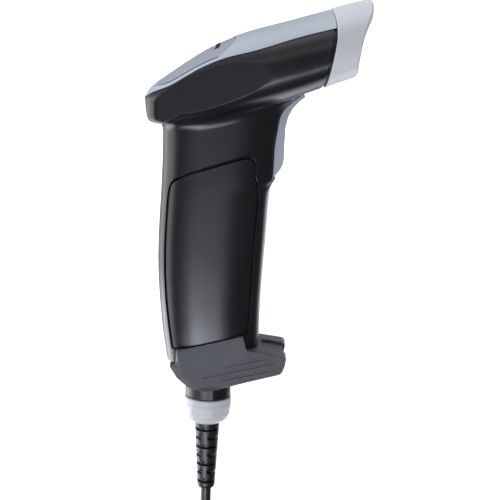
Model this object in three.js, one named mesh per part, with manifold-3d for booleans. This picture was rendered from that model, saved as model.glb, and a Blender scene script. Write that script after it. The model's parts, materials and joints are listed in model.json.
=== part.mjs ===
// Handheld barcode scanner: pistol grip, laser scan head, hinged trigger, corded.
// Millimetres, +X towards the scan window, +Z up, origin in the middle of the grip.
import * as THREE from "three";
import { mergeVertices } from "three/addons/utils/BufferGeometryUtils.js";
import Module from "manifold-3d";

const wasm = await Module();
wasm.setup();

// ---------- driving dimensions ----------
const wall = 2.2; // thickness of the moulded shells
const gap = 0.3; // clearance between neighbouring pieces
const sectionSides = 36; // corners round one section of a lofted shell

// head: top line, underside and half width along X
const headRear = -25.9;
const headFront = 66;
const headTop = [[headRear, 62], [-24.8, 63.4], [-20, 67.4], [-6, 76.7], [0, 80.1], [6, 82.9], [12, 85.2],
  [19, 87.3], [30, 90.1], [48, 94.9], [headFront, 99.4]];
const headBottom = [[headRear, 60.9], [-25.4, 58.2], [-24.9, 55.6], [-24.1, 53.4], [-22.5, 52.5], [-18, 52],
  [-10, 51.9], [0, 52.8], [20, 57.8], [30, 60.6], [40, 63.9], [48, 67], [headFront, 73.3]];
const headHalfWidth = [[headRear, 8], [-25.3, 12.6], [-24, 16.6], [-22, 19.4], [-19.5, 21.5], [-16, 23.5],
  [-10, 26.3], [0, 28.7], [10, 30.3], [25, 31.6], [40, 32.4], [50, 33.2], [headFront, 34.6]];
const headWidest = [[headRear, 61.4], [-25, 60.8], [-20, 60.4], [0, 68], [20, 72.6], [40, 77.6],
  [headFront, 85]];
const headRoundness = 2.6; // exponent of the superellipse across the head
const edgeRoundness = 7; // the same round the lower edge of the head's rear end
const edgeSpan = [-20.5, -10]; // X between which that squarer edge fades out
const cheekTilt = 13; // degrees by which the flat cheeks close towards the rear
const cheekReach = 31.37; // half width at which the flat cheek starts
const cheekStart = 22.7; // X where the flat cheek starts
const coverLine = [[-27.5, 60.4], [-22.4, 64.3], [-15.2, 67.7], [-8, 72], [-2.1, 75.3], [6.4, 78.8],
  [18.6, 82], [35.3, 87], [49.5, 90.6], [56, 92.2]];
const seamLine = [[60, 44], [68, 45.2], [76, 46.9], [86, 48.8], [91, 49.1], [96, 48.5], [104, 47]]; // [z, x]
const hoodLine = [[60, 57.2], [72, 57.3], [77, 57.3], [82, 57.9], [87, 59], [91, 60.3], [97, 63.1],
  [104, 66]]; // [z, x]

// handle: rear line, front line and half width along Z
const gripRear = [[-64, -14], [-48, -18], [-44, -18.7], [-31, -20.3], [-10, -21.5], [6.5, -21.1], [26, -19.8],
  [40, -19.1], [52, -19], [64, -19]];
const gripFront = [[-64, 19], [-36, 19.6], [-22, 20.2], [-9, 21.2], [5, 22.4], [23, 23.9], [26, 24.9],
  [29, 26.7], [42, 27.6], [47, 28.4], [53, 29.5], [56, 30.9], [59, 33.8], [64, 40.4]];
const gripHalfWidth = [[-64, 14.2], [-45, 14.4], [-30, 14.8], [-10, 15.2], [10, 15.5], [30, 16], [44, 16.4],
  [54, 16.8], [64, 17.2]];
const gripRoundness = 2.7;

// boot at the foot of the grip, with the hooked toe
const bootHalfWidth = 14.6;
const bootBevel = 2.8; // how far the bevel round the rear reaches in from the flat sides
const bootSide = [[-13.9, -41], [13, -34.9], [14.4, -40.6], [29.4, -43.1], [30.6, -44.2], [30, -47.4],
  [28.6, -50.7], [13.2, -54.6], [0.4, -58.2], [-2.7, -57.4], [-8.4, -54], [-11.3, -51.4], [-13, -47.5],
  [-13.5, -45]];
const bootMiddle = [[-14.2, -41], [13, -34.9], [14.4, -40.6], [29.4, -43.1], [30.6, -44.2], [30, -47.4],
  [28.4, -51.2], [13.2, -55.1], [1, -58.6], [-4, -58.9], [-9.6, -57], [-14, -53], [-17.3, -47.4],
  [-14.6, -47.4]];
const toeChannel = 6.5; // half width of the groove along the toe

// cable outlet
const outletX = -1.5;
const outletLean = 1.5; // degrees by which the outlet leans back
const outletTop = -57.5; // Z where the outlet leaves the boot
const reliefEnd = -46.9; // end of the strain relief, measured along the outlet
const cableRadius = 2.2;

// hank in which the rest of the cable is stored, and the plug under it
const hankTop = -124;
const hankRun = 84.5;
const hankEndRadius = 20.2;
const hankFront = -2.5;
const hankBack = 15.7;
const plugTop = -261.5;

// trigger
const triggerHalfWidth = 8.6;
const triggerPivot = [30.5, 61.6];
const triggerOutline = [[38.4, 61.9], [35.9, 60.3], [32.9, 57.2], [31, 53.6], [30, 49.3], [29.6, 43.3],
  [29.5, 37.6], [29, 34.6], [27.5, 32], [25.4, 29.6], [22.8, 28.6], [22.8, 46], [24.6, 56], [27, 60.2],
  [28.2, 64], [30.5, 65.4], [33.2, 64.4]];
const pinRadius = 1.2;
const switchLevel = 42; // Z of the switch plunger
const plungerRadius = 1.5;

// screws that hold the two shell halves together, as [x, z]
const housingScrews = [[0, 22], [-1, -22]];

// everything behind the window sits in a frame tilted with the barrel
const headOrigin = [0, 0, 66];
const headTilt = 15.5;

// ---------- materials ----------
function finish(colour, roughness = 0.5, metalness = 0) {
  return new THREE.MeshStandardMaterial({ color: colour, roughness, metalness });
}
const blackPlastic = finish(0x26252a, 0.45);
const greyPlastic = finish(0xafb6bf, 0.35);
const plateGrey = finish(0x878c97, 0.3);
const rubberGrey = finish(0xc4c7cd, 0.55);
const triggerGrey = finish(0x92969f, 0.45);
const bootRubber = finish(0x4f5056, 0.7);
const cableRubber = finish(0x2a2a2e, 0.6);
const darkGlass = finish(0x2a0608, 0.05);
const boardGreen = finish(0x1d5a3a, 0.5);
const chipBlack = finish(0x17171a, 0.4);
const steel = finish(0xb8bbc0, 0.3, 1);
const brass = finish(0xc79a4a, 0.35, 1);
const copper = finish(0xb5683c, 0.4, 1);
const mirrorGlass = finish(0xe8ecf0, 0.03, 1);
const engineMetal = finish(0x8f9298, 0.4, 0.8);
const whitePlastic = finish(0xdedede, 0.5);

// ---------- geometry helpers ----------
// Smooth curve through [x, value] pairs, as a function of x.
function through(pairs) {
  const slope = (i) => {
    const before = pairs[Math.max(i - 1, 0)];
    const after = pairs[Math.min(i + 1, pairs.length - 1)];
    return (after[1] - before[1]) / (after[0] - before[0]);
  };
  return (x) => {
    let i = 0;
    while (i < pairs.length - 2 && x > pairs[i + 1][0]) i += 1;
    const [x0, v0] = pairs[i];
    const [x1, v1] = pairs[i + 1];
    const step = x1 - x0;
    const t = THREE.MathUtils.clamp((x - x0) / step, 0, 1);
    const keepStart = v0 * (1 + 2 * t) * (1 - t) ** 2 + v1 * t * t * (3 - 2 * t);
    return keepStart + step * t * (1 - t) * (slope(i) * (1 - t) - slope(i + 1) * t);
  };
}

function toSolid(geometry) {
  const bare = geometry.clone();
  bare.deleteAttribute("normal");
  bare.deleteAttribute("uv");
  const merged = mergeVertices(bare, 1e-4);
  return new wasm.Manifold(new wasm.Mesh({
    numProp: 3,
    vertProperties: new Float32Array(merged.attributes.position.array),
    triVerts: new Uint32Array(merged.index.array),
  }));
}

function toGeometry(solid) {
  const mesh = solid.getMesh();
  const geometry = new THREE.BufferGeometry();
  geometry.setAttribute("position", new THREE.BufferAttribute(mesh.vertProperties, 3));
  geometry.setIndex(new THREE.BufferAttribute(mesh.triVerts, 1));
  return geometry;
}

// Closed skin over a row of rings that all have the same number of points.
function loft(rings) {
  const sides = rings[0].length;
  const points = rings.flat();
  const middle = (ring) => ring.reduce((sum, p) => sum.add(p), new THREE.Vector3()).divideScalar(sides);
  const first = points.push(middle(rings[0])) - 1;
  const last = points.push(middle(rings.at(-1))) - 1;
  const index = [];
  for (let k = 0; k < sides; k += 1) {
    const next = (k + 1) % sides;
    for (let r = 0; r < rings.length - 1; r += 1) {
      const a = r * sides;
      const b = a + sides;
      index.push(a + k, a + next, b + next, a + k, b + next, b + k);
    }
    const end = (rings.length - 1) * sides;
    index.push(first, next, k, last, end + k, end + next);
  }
  const geometry = new THREE.BufferGeometry().setFromPoints(points);
  geometry.setIndex(index);
  return geometry;
}

// One point of a superellipse, as fractions of its half sizes.
function roundSquare(turn, roundness) {
  const c = Math.cos(turn);
  const s = Math.sin(turn);
  return [Math.sign(c) * Math.abs(c) ** (2 / roundness), Math.sign(s) * Math.abs(s) ** (2 / roundness)];
}

function turns(count) {
  return Array.from({ length: count }, (_, k) => (2 * Math.PI * (k + 0.5)) / count);
}

// Plate cut to an outline in the XZ plane and reaching from y0 to y1.
function sidePlate(outline, y0, y1, bevel = 0) {
  const shape = new THREE.Shape(outline.map(([x, z]) => new THREE.Vector2(x, z)));
  const geometry = new THREE.ExtrudeGeometry(shape, {
    depth: y1 - y0 - 2 * bevel,
    bevelEnabled: bevel > 0,
    bevelSize: bevel,
    bevelOffset: -bevel,
    bevelThickness: bevel,
    bevelSegments: 1,
    steps: 1,
  });
  geometry.rotateX(Math.PI / 2);
  geometry.translate(0, y1 - bevel, 0);
  return geometry;
}

// Column with an outline in the XY plane and reaching from z0 to z1.
function column(outline, z0, z1) {
  const shape = new THREE.Shape(outline.map(([x, y]) => new THREE.Vector2(x, y)));
  const geometry = new THREE.ExtrudeGeometry(shape, { depth: z1 - z0, bevelEnabled: false, steps: 1 });
  geometry.translate(0, 0, z0);
  return geometry;
}

function box(x0, x1, y0, y1, z0, z1) {
  const geometry = new THREE.BoxGeometry(x1 - x0, y1 - y0, z1 - z0);
  geometry.translate((x0 + x1) / 2, (y0 + y1) / 2, (z0 + z1) / 2);
  return geometry;
}

// Round bar along one axis, centred on a point.
function bar(radius, length, axis, centre, sides = 16) {
  const geometry = new THREE.CylinderGeometry(radius, radius, length, sides);
  if (axis === "x") geometry.rotateZ(Math.PI / 2);
  if (axis === "z") geometry.rotateX(Math.PI / 2);
  geometry.translate(...centre);
  return geometry;
}

// Turned piece about Z from [radius, z] pairs listed upwards.
function turned(profile, sides = 24) {
  const geometry = new THREE.LatheGeometry(profile.map(([r, z]) => new THREE.Vector2(r, z)), sides);
  geometry.rotateX(Math.PI / 2);
  return geometry;
}

function rod(radius, points, sides = 8, steps = 24) {
  const path = new THREE.CatmullRomCurve3(points.map((p) => new THREE.Vector3(...p)));
  const ring = turns(sides).map((turn) => new THREE.Vector2(radius * Math.cos(turn),
    radius * Math.sin(turn)));
  return new THREE.ExtrudeGeometry(new THREE.Shape(ring), { extrudePath: path, steps, bevelEnabled: false });
}

const object = new THREE.Group();

function place(name, geometry, material, parent = object) {
  const mesh = new THREE.Mesh(geometry, material);
  mesh.name = name;
  parent.add(mesh);
  return mesh;
}

// ---------- lofted outer forms ----------
const topAt = through(headTop);
const bottomAt = through(headBottom);
const headWidthAt = through(headHalfWidth);
const widestAt = through(headWidest);
const headStations = [-25.5, -24.6, -22.5, -19, -13, -6, 0, 6, 12, 20, 30, 40, 50, 58];

// Exponent of the head's section at x, above or below its widest line.
function headRoundnessAt(x, lower) {
  const share = THREE.MathUtils.smoothstep(-x, -edgeSpan[1], -edgeSpan[0]);
  return lower ? headRoundness + (edgeRoundness - headRoundness) * share : headRoundness;
}

// Head, shrunk all round by inset, with its flat cheeks.
function headForm(inset) {
  const rear = headRear + inset;
  const stations = [rear, ...headStations.filter((x) => x > rear), headFront];
  const rings = stations.map((x) => turns(sectionSides).map((turn) => {
    const [across, up] = roundSquare(turn, headRoundnessAt(x, Math.sin(turn) < 0));
    const middle = widestAt(x);
    const rise = up > 0 ? topAt(x) - inset - middle : middle - bottomAt(x) - inset;
    return new THREE.Vector3(x, (headWidthAt(x) - inset) * across, middle + rise * up);
  }));
  const cheeks = column(cheekPlan(inset), 40, 110);
  return toSolid(loft(rings)).intersect(toSolid(cheeks));
}

// Plan of the space between the two flat cheeks.
function cheekPlan(inset) {
  const slope = Math.tan(THREE.MathUtils.degToRad(cheekTilt));
  const half = (x) => cheekReach - inset + (x - cheekStart) * slope;
  const wide = 60;
  return [[-40, -half(-40)], [cheekStart + 4, -half(cheekStart + 4)], [cheekStart + 4, -wide], [90, -wide],
    [90, wide],
    [cheekStart + 4, wide], [cheekStart + 4, half(cheekStart + 4)], [-40, half(-40)]];
}

const rearAt = through(gripRear);
const frontAt = through(gripFront);
const gripWidthAt = through(gripHalfWidth);
const gripStations = [-64, -50, -40, -28, -10, 8, 24, 34, 42, 47, 51, 54.5, 58, 61, 64];

// Grip, shrunk all round by inset.
function gripForm(inset) {
  const rings = gripStations.map((z) => turns(sectionSides).map((turn) => {
    const [along, across] = roundSquare(turn, gripRoundness);
    const middle = (rearAt(z) + frontAt(z)) / 2;
    const half = (frontAt(z) - rearAt(z)) / 2 - inset;
    return new THREE.Vector3(middle + half * along, (gripWidthAt(z) - inset) * across, z);
  }));
  return toSolid(loft(rings));
}

// Everything above the line where the top cover ends, moved up by lift.
function aboveCoverLine(lift) {
  const line = coverLine.map(([x, z]) => [x, z + lift]);
  return toSolid(sidePlate([[-40, line[0][1] - 1], ...line, [80, line.at(-1)[1] + 6], [80, 130], [-40, 130]],
    -60, 60));
}

// Everything in front of the seam of the nose bumper, moved forward by shift.
function aheadOfSeam(shift) {
  const line = seamLine.map(([z, x]) => [x + shift, z]);
  return toSolid(sidePlate([[90, 60], [90, 104], ...line.reverse()], -60, 60));
}

function behindHoodLine(shift) {
  const line = hoodLine.map(([z, x]) => [x + shift, z]);
  return toSolid(sidePlate([[-60, 60], ...line, [-60, 104]], -60, 60));
}

const inHeadFrame = new THREE.Matrix4()
  .makeTranslation(...headOrigin)
  .multiply(new THREE.Matrix4().makeRotationY(-THREE.MathUtils.degToRad(headTilt)));

function tilted(geometry) {
  return geometry.clone().applyMatrix4(inHeadFrame);
}

// ---------- side panels ----------
const panelOutline = [[-15.8, 27], [-14, 29.4], [-8.9, 32.4], [-1.5, 34.8], [5.9, 37], [13.3, 39], [15.5, 39.2],
  [17.3, 38], [17.9, 36], [17.7, 31.5], [19, 26.5], [19, 21], [17.4, 4], [16.8, -7], [15.4, -28], [14.6, -33.6],
  [12.6, -34.2], [-13.9, -40.7], [-15.8, -41], [-17, -31], [-18, -20], [-18.4, -9], [-18.2, 2], [-17.5, 13],
  [-16.7, 22.6]];
const panelDepth = 1.6;
const panelSink = 0.5; // how far the panel lies below the shell round it

function grown(outline, amount) {
  const centre = [0, -2];
  return outline.map(([x, z]) => {
    const away = new THREE.Vector2(x - centre[0], z - centre[1]);
    const length = away.length();
    away.multiplyScalar((length + amount) / length);
    return [centre[0] + away.x, centre[1] + away.y];
  });
}

function sidePanel(side) {
  const [near, far] = side < 0 ? [-40, -4] : [4, 40];
  return toSolid(sidePlate(panelOutline, near, far))
    .intersect(gripForm(panelSink))
    .subtract(gripForm(panelSink + panelDepth));
}

function panelPockets() {
  const across = toSolid(sidePlate(grown(panelOutline, gap), -40, 40));
  return across.subtract(gripForm(panelSink + panelDepth + gap));
}

// ---------- body shells ----------
// Space below the shells that the boot fills.
function bootRegion() {
  const outline = [[-40, -47.1], [-14.9, -47.1], [-14.5, -40.9], [13.1, -34.4], [14.6, -40.2], [40, -44.7],
    [40, -90],
    [-40, -90]];
  return toSolid(sidePlate(outline, -40, 40));
}

function triggerPocket() {
  const opening = [[38.9, 66.4], [38.9, 58], [34, 40], [34, 27.9], [18.5, 27.9], [18.5, 46], [20.5, 56],
    [26, 62],
    [26.6, 66.4]];
  const slot = toSolid(sidePlate(opening, -triggerHalfWidth - gap, triggerHalfWidth + gap));
  const [x, z] = triggerPivot;
  return slot.add(toSolid(bar(pinRadius + gap, 2 * triggerHalfWidth + 7, "y", [x, 0, z], 12)));
}

function screwBosses() {
  const posts = housingScrews.map(([x, z]) => toSolid(bar(3.4, 40, "y", [x, 0, z], 12)));
  return posts[0].add(posts[1]).intersect(gripForm(1));
}

function screwHoles() {
  const holes = housingScrews.map(([x, z]) => toSolid(bar(1.5 + gap, 23, "y", [x, -2, z], 12))
    .add(toSolid(bar(2.7 + gap, 6, "y", [x, -13.1, z], 12))));
  return holes[0].add(holes[1]);
}

function bodyForm() {
  const outer = headForm(0).add(gripForm(0));
  const inner = headForm(wall).add(gripForm(wall + panelSink + panelDepth));
  return outer.subtract(inner).add(screwBosses())
    .subtract(aboveCoverLine(-gap))
    .subtract(aheadOfSeam(-gap))
    .subtract(panelPockets())
    .subtract(bootRegion())
    .subtract(triggerPocket())
    .subtract(screwHoles());
}

function shellHalf(side) {
  const [y0, y1] = side < 0 ? [-60, -gap / 2] : [gap / 2, 60];
  return toGeometry(bodyForm().intersect(toSolid(box(-60, 90, y0, y1, -80, 130))));
}

// ---------- top cover and its plate ----------
const coverWall = 3.4;
const lensFront = 4.2; // X of the middle of the indicator's front edge
const lensHalfWidth = 10;
const lensThickness = 1.4;
const lensBow = 62; // radius to which the indicator is bowed
const plateHalfWidth = 22.9;
const plateFront = { length: 10.4, roundness: 2.6 }; // forward half of the oval
const plateRear = { length: 24.3, roundness: 2.2 }; // rearward half of the oval
const plateRim = 0.9; // least height of the cover's rim below the plate's edge
const plateThickness = 1.2;
const plateSink = 0.3; // how far the plate lies below the cover round it

function plateOutline(inset) {
  return turns(40).map((turn) => {
    const end = Math.cos(turn) > 0 ? plateFront : plateRear;
    const [along, across] = roundSquare(turn, end.roundness);
    return [(end.length - inset) * along, (plateHalfWidth - inset) * across];
  });
}

function topCover() {
  const lensSlot = toSolid(lensBlock(gap));
  const pocket = toSolid(column(plateOutline(0), 50, 110))
    .intersect(aboveCoverLine(plateRim))
    .subtract(headForm(plateSink + plateThickness + gap));
  return toGeometry(headForm(0).intersect(aboveCoverLine(0))
    .subtract(headForm(coverWall))
    .subtract(aheadOfSeam(-gap))
    .subtract(pocket)
    .subtract(lensSlot));
}

function topPlate() {
  return toGeometry(toSolid(column(plateOutline(gap), 50, 110))
    .intersect(headForm(plateSink).intersect(aboveCoverLine(plateRim + gap)))
    .subtract(headForm(plateSink + plateThickness))
    .subtract(toSolid(lensBlock(gap))));
}

// Light pipe of the read indicator: a slim bow across the plate.
function lensBlock(margin) {
  const centre = lensFront - lensBow;
  const half = Math.asin(lensHalfWidth / lensBow);
  const shape = new THREE.Shape();
  shape.absarc(centre, 0, lensBow + margin, -half, half, false);
  shape.absarc(centre, 0, lensBow - lensThickness - margin, half, -half, true);
  const geometry = new THREE.ExtrudeGeometry(shape, { depth: 14, bevelEnabled: false, curveSegments: 8 });
  geometry.translate(0, 0, 73);
  return geometry;
}

function indicatorLens() {
  return toGeometry(toSolid(lensBlock(0)).intersect(headForm(0.25)));
}

// ---------- nose ----------
const hoodWall = 3.4;
const windowSet = 52.4; // distance of the window's rear face along the barrel
const windowThickness = 1.6;

function noseBumper() {
  const hollow = headForm(hoodWall);
  return toGeometry(headForm(-0.35).intersect(aheadOfSeam(0)).intersect(behindHoodLine(0)).subtract(hollow));
}

function windowFrameSlab(from, to, inset) {
  const slab = toSolid(tilted(box(from, to, -60, 60, -40, 40)));
  return headForm(inset).intersect(slab);
}

function windowGasket() {
  const seat = windowFrameSlab(windowSet - 1, windowSet + windowThickness + 0.6, hoodWall + gap);
  const hole = windowFrameSlab(windowSet - 5, windowSet + 8, hoodWall + gap + 2.2);
  const rebate = windowFrameSlab(windowSet - gap, windowSet + 8, hoodWall + gap + 1.2);
  return toGeometry(seat.subtract(hole).subtract(rebate));
}

function scanWindow() {
  return toGeometry(windowFrameSlab(windowSet, windowSet + windowThickness, hoodWall + gap + 1.5));
}

// ---------- boot, outlet and strain relief ----------
const neckRadius = 9.4;
const neckSpigot = 7; // radius of the part of the neck that goes up into the boot

function footBoot() {
  const ring = (outline, y) => outline.map(([x, z]) => new THREE.Vector3(x, y, z));
  const inner = bootHalfWidth - bootBevel;
  const block = loft([ring(bootSide, -bootHalfWidth), ring(bootMiddle, -inner), ring(bootMiddle, inner),
    ring(bootSide, bootHalfWidth)]);
  const channel = [[20.5, -30], [20.5, -42.7], [29.2, -44.3], [28.6, -47.6], [27, -54], [45, -54], [45, -30]];
  return toGeometry(toSolid(block)
    .subtract(toSolid(sidePlate(channel, -toeChannel, toeChannel)))
    .subtract(toSolid(box(-10, 11, -10, 10, -50.5, -20)))
    .subtract(toSolid(atOutlet(bar(neckRadius + gap, 20, "z", [0, 0, -7.2], 28))))
    .subtract(toSolid(atOutlet(bar(neckSpigot + gap, 20, "z", [0, 0, 4], 24)))));
}

// Moves a piece built about Z at the origin to the cable outlet.
function atOutlet(geometry) {
  const placed = geometry.clone();
  placed.rotateY(THREE.MathUtils.degToRad(outletLean));
  placed.translate(outletX, 0, outletTop);
  return placed;
}

function neckSleeve() {
  return atOutlet(turned([[0, -1.5], [5.6, -1.5], [5.6, -6.2], [neckRadius, -6.2], [neckRadius, 2.4],
    [neckSpigot, 2.4],
    [neckSpigot, 8], [0, 8]]));
}

function lockRing() {
  return atOutlet(turned([[5.5, -17.6], [6.1, -17.6], [8.2, -15.9], [9.3, -13.4], [9.7, -10.4], [9.7, -6.5],
    [7.2, -6.5], [7.2, -13.6], [5.5, -13.6], [5.5, -17.6]]));
}

function strainRelief() {
  return atOutlet(turned([[0, reliefEnd], [3.1, reliefEnd], [3.65, reliefEnd + 1], [5.1, -18.4], [5.1, -13.3],
    [6.8, -13.3], [6.8, -8], [5.2, -8], [5.2, -1.9], [0, -1.9]]));
}

// ---------- cable, hank and plug ----------
function outletPoint(along) {
  const lean = THREE.MathUtils.degToRad(outletLean);
  return [outletX + along * Math.sin(lean), 0, outletTop + along * Math.cos(lean)];
}

const hankX = outletPoint(reliefEnd)[0] - 0.2;
const hankCentre = hankTop - hankEndRadius - hankRun / 2;
const hankBottom = hankTop - 2 * hankEndRadius - hankRun;

function cable() {
  return rod(cableRadius, [outletPoint(reliefEnd - gap), [hankX, 0, -110], [hankX, 0, hankTop + gap]], 8, 6);
}

function cableHank() {
  const shape = new THREE.Shape();
  const half = hankRun / 2;
  shape.absarc(0, half, hankEndRadius, 0, Math.PI, false);
  shape.absarc(0, -half, hankEndRadius, Math.PI, 2 * Math.PI, false);
  const geometry = new THREE.ExtrudeGeometry(shape, {
    depth: hankBack - hankFront,
    bevelEnabled: false,
    curveSegments: 10,
  });
  geometry.rotateX(Math.PI / 2);
  geometry.translate(hankX, hankBack, hankCentre);
  const tieSpace = box(hankX - 30, hankX + 30, -30, 30, hankCentre - 3.4, hankCentre + 3.4);
  const waist = box(hankX - 19.4, hankX + 19.4, hankFront + 0.7, hankBack - 0.7, hankCentre - 4,
    hankCentre + 4);
  return toGeometry(toSolid(geometry).subtract(toSolid(tieSpace).subtract(toSolid(waist))));
}

function hankTie() {
  const outer = box(hankX - 20.6, hankX + 20.6, hankFront - 0.4, hankBack + 0.4, hankCentre - 3,
    hankCentre + 3);
  const inner = box(hankX - 19.8, hankX + 19.8, hankFront + 0.3, hankBack - 0.3, hankCentre - 4,
    hankCentre + 4);
  return toGeometry(toSolid(outer).subtract(toSolid(inner)));
}

function cableTail() {
  return rod(cableRadius, [[hankX, 0, hankBottom - gap], [hankX, 0, plugTop + gap]], 8, 3);
}

function plugBody() {
  const geometry = new THREE.BoxGeometry(16, 8.4, 24);
  geometry.translate(hankX, 0, plugTop - 20);
  const neck = turned([[0, -9], [4.2, -9], [3.2, 0], [0, 0]], 16);
  neck.translate(hankX, 0, plugTop);
  return toGeometry(toSolid(geometry).add(toSolid(neck)));
}

function plugShell() {
  const bottom = plugTop - 32 - gap;
  const outer = box(hankX - 6, hankX + 6, -2.25, 2.25, bottom - 12, bottom);
  const hollow = box(hankX - 5.7, hankX + 5.7, -1.95, 1.95, bottom - 14, bottom - 1);
  return toGeometry(toSolid(outer).subtract(toSolid(hollow)));
}

function plugTongue() {
  const bottom = plugTop - 33 - 2 * gap;
  return box(hankX - 5.4, hankX + 5.4, -0.1, 1.7, bottom - 10.4, bottom);
}

// ---------- trigger and its switch ----------
function triggerLever() {
  const [x, z] = triggerPivot;
  return toGeometry(toSolid(sidePlate(triggerOutline, -triggerHalfWidth, triggerHalfWidth, 0.8))
    .subtract(toSolid(bar(pinRadius + 0.05, 40, "y", [x, 0, z], 16)))
    .subtract(toSolid(bar(4.2, 5, "y", [x, 0, z], 16)))
    .subtract(toSolid(box(10, x, -2.5, 2.5, z - 4.2, z + 4.2))));
}

function triggerSwitch() {
  const bore = bar(plungerRadius + gap, 6, "x", [18, 0, switchLevel], 12);
  return toGeometry(toSolid(box(10, 18, -5, 5, switchLevel - 4, switchLevel + 4)).subtract(toSolid(bore)));
}

function triggerSpring() {
  const [x, z] = triggerPivot;
  const coil = Array.from({ length: 33 }, (_, k) => {
    const turn = (2 * Math.PI * k) / 8;
    return [x + 2.5 * Math.cos(turn), -1.6 + 0.1 * k, z + 2.5 * Math.sin(turn)];
  });
  return rod(0.35, [...coil, [x + 1.6, 1.6, z + 3]], 5, 66);
}

// ---------- scan engine, boards and wiring, in the frame of the barrel ----------
const barrel = new THREE.Group();
barrel.position.set(...headOrigin);
barrel.rotation.y = -THREE.MathUtils.degToRad(headTilt);
object.add(barrel);
const mirrorAxis = 39; // distance of the mirror's axis along the barrel

function engineChassis() {
  return toGeometry(toSolid(box(32, 47.5, -14, 14, -7.4, 8))
    .subtract(toSolid(box(33.5, 50, -12.6, 12.6, -6.4, 9))));
}

function mirrorHub() {
  const hub = bar(1.7, 6, "z", [mirrorAxis, 0, 0], 12);
  return toGeometry(toSolid(hub).subtract(toSolid(bar(0.6, 8, "z", [mirrorAxis, 0, 0], 10))));
}

function ribbon() {
  const outline = [[21, 0.9], [25, 0.9], [29.6, 10.2], [34, 10.2], [34, 10.5], [29.4, 10.5], [24.8, 1.2],
    [21, 1.2]];
  return sidePlate(outline, -5, 5);
}

function boardWithHoles(geometry, screws) {
  return screws.reduce((board, [x, y]) => board.subtract(toSolid(bar(1.3, 9, "z", [x, y, 0], 10))),
    toSolid(geometry));
}

const boardScrews = [[-11, 0], [21, -13]];

function boardScrew([x, y]) {
  return toGeometry(toSolid(bar(1, 5, "z", [x, y, -1], 10)).add(toSolid(bar(2.2, 1.2, "z", [x, y, 1.6],
    12))));
}

function jackBody() {
  return toGeometry(toSolid(box(-5.6, 8.6, -6.6, 6.6, -46, -30))
    .subtract(toSolid(box(-4.6, 4.6, -5.4, 5.4, -50, -33))));
}

function cableEndPlug() {
  return box(-4.2, 4.2, -5, 5, -48.6, -33.6);
}

function housingScrew([x, z]) {
  const head = bar(2.6, 1.8, "y", [x, -11.3, z], 12);
  const shank = bar(1.4, 18, "y", [x, -3.3, z], 10);
  return toGeometry(toSolid(head).add(toSolid(shank)));
}

// ---------- assembly ----------
place("body_shell_left", shellHalf(1), blackPlastic);
place("body_shell_right", shellHalf(-1), blackPlastic);
place("top_cover", topCover(), greyPlastic);
place("top_plate", topPlate(), plateGrey);
place("indicator_lens", indicatorLens(), darkGlass);
place("nose_bumper", noseBumper(), rubberGrey);
place("window_gasket", windowGasket(), chipBlack);
place("scan_window", scanWindow(), darkGlass);
place("side_panel_left", toGeometry(sidePanel(1)), blackPlastic);
place("side_panel_right", toGeometry(sidePanel(-1)), blackPlastic);
place("foot_boot", footBoot(), bootRubber);
place("neck_sleeve", neckSleeve(), cableRubber);
place("lock_ring", lockRing(), greyPlastic);
place("strain_relief", strainRelief(), cableRubber);
place("cable", cable(), cableRubber);
place("cable_hank", cableHank(), cableRubber);
place("hank_tie", hankTie(), cableRubber);
place("cable_tail", cableTail(), cableRubber);
place("plug_body", plugBody(), cableRubber);
place("plug_shell", plugShell(), steel);
place("plug_tongue", plugTongue(), whitePlastic);

place("trigger", triggerLever(), triggerGrey);
place("trigger_pin", bar(pinRadius, 2 * triggerHalfWidth + 6, "y", [triggerPivot[0], 0, triggerPivot[1]],
  16), steel);
place("trigger_spring", triggerSpring(), steel);
place("trigger_switch", triggerSwitch(), chipBlack);
place("switch_plunger", bar(plungerRadius, 5.4, "x", [19.7, 0, switchLevel], 12), whitePlastic);

place("main_board", toGeometry(boardWithHoles(box(-15, 26, -17, 17, -0.6, 0.6), boardScrews)),
  boardGreen, barrel);
place("decoder_chip", box(2, 14, -6, 6, 0.9, 2.3), chipBlack, barrel);
place("memory_chip", box(16, 22, 5, 12, 0.9, 2.1), chipBlack, barrel);
place("beeper", bar(5, 3.6, "z", [-5, -9, 2.7], 20), chipBlack, barrel);
place("indicator_led", box(3.6, 5.6, 8, 11, 0.9, 2.4), whitePlastic, barrel);
place("flex_ribbon", ribbon(), copper, barrel);
place("board_screw_rear", boardScrew(boardScrews[0]), steel, barrel);
place("board_screw_front", boardScrew(boardScrews[1]), steel, barrel);
place("engine_chassis", engineChassis(), engineMetal, barrel);
place("engine_board", box(32.5, 47.5, -14, 14, 8.4, 9.6), boardGreen, barrel);
place("laser_module", bar(2.7, 7, "x", [43.6, -9.4, 0], 16), brass, barrel);
place("photodiode", box(43.4, 45.4, 7, 12, -2.5, 2.5), chipBlack, barrel);
place("mirror_pin", bar(0.5, 12.4, "z", [mirrorAxis, 0, 0], 10), steel, barrel);
place("mirror_hub", mirrorHub(), engineMetal, barrel);
place("scan_mirror", box(mirrorAxis + 1.9, mirrorAxis + 2.7, -5, 5, -3.2, 3.2), mirrorGlass, barrel);
place("mirror_magnet", box(mirrorAxis - 3.1, mirrorAxis - 1.9, -2.5, 2.5, -2, 2), steel, barrel);
place("drive_coil", bar(3.6, 1.4, "x", [34.4, 0, 0], 16), copper, barrel);

place("handle_board", box(9, 10.2, -8, 8, -46, -8), boardGreen);
place("cable_jack", jackBody(), chipBlack);
place("cable_end_plug", cableEndPlug(), whitePlastic);
place("wire_harness", rod(1.5, [[7.4, 0, -10], [7, 0, 8], [6.5, 0, 30], [8, 0, 50], [10, 0, 64]], 8, 10),
  copper);
place("housing_screw_upper", housingScrew(housingScrews[0]), steel);
place("housing_screw_lower", housingScrew(housingScrews[1]), steel);

export default object;
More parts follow.
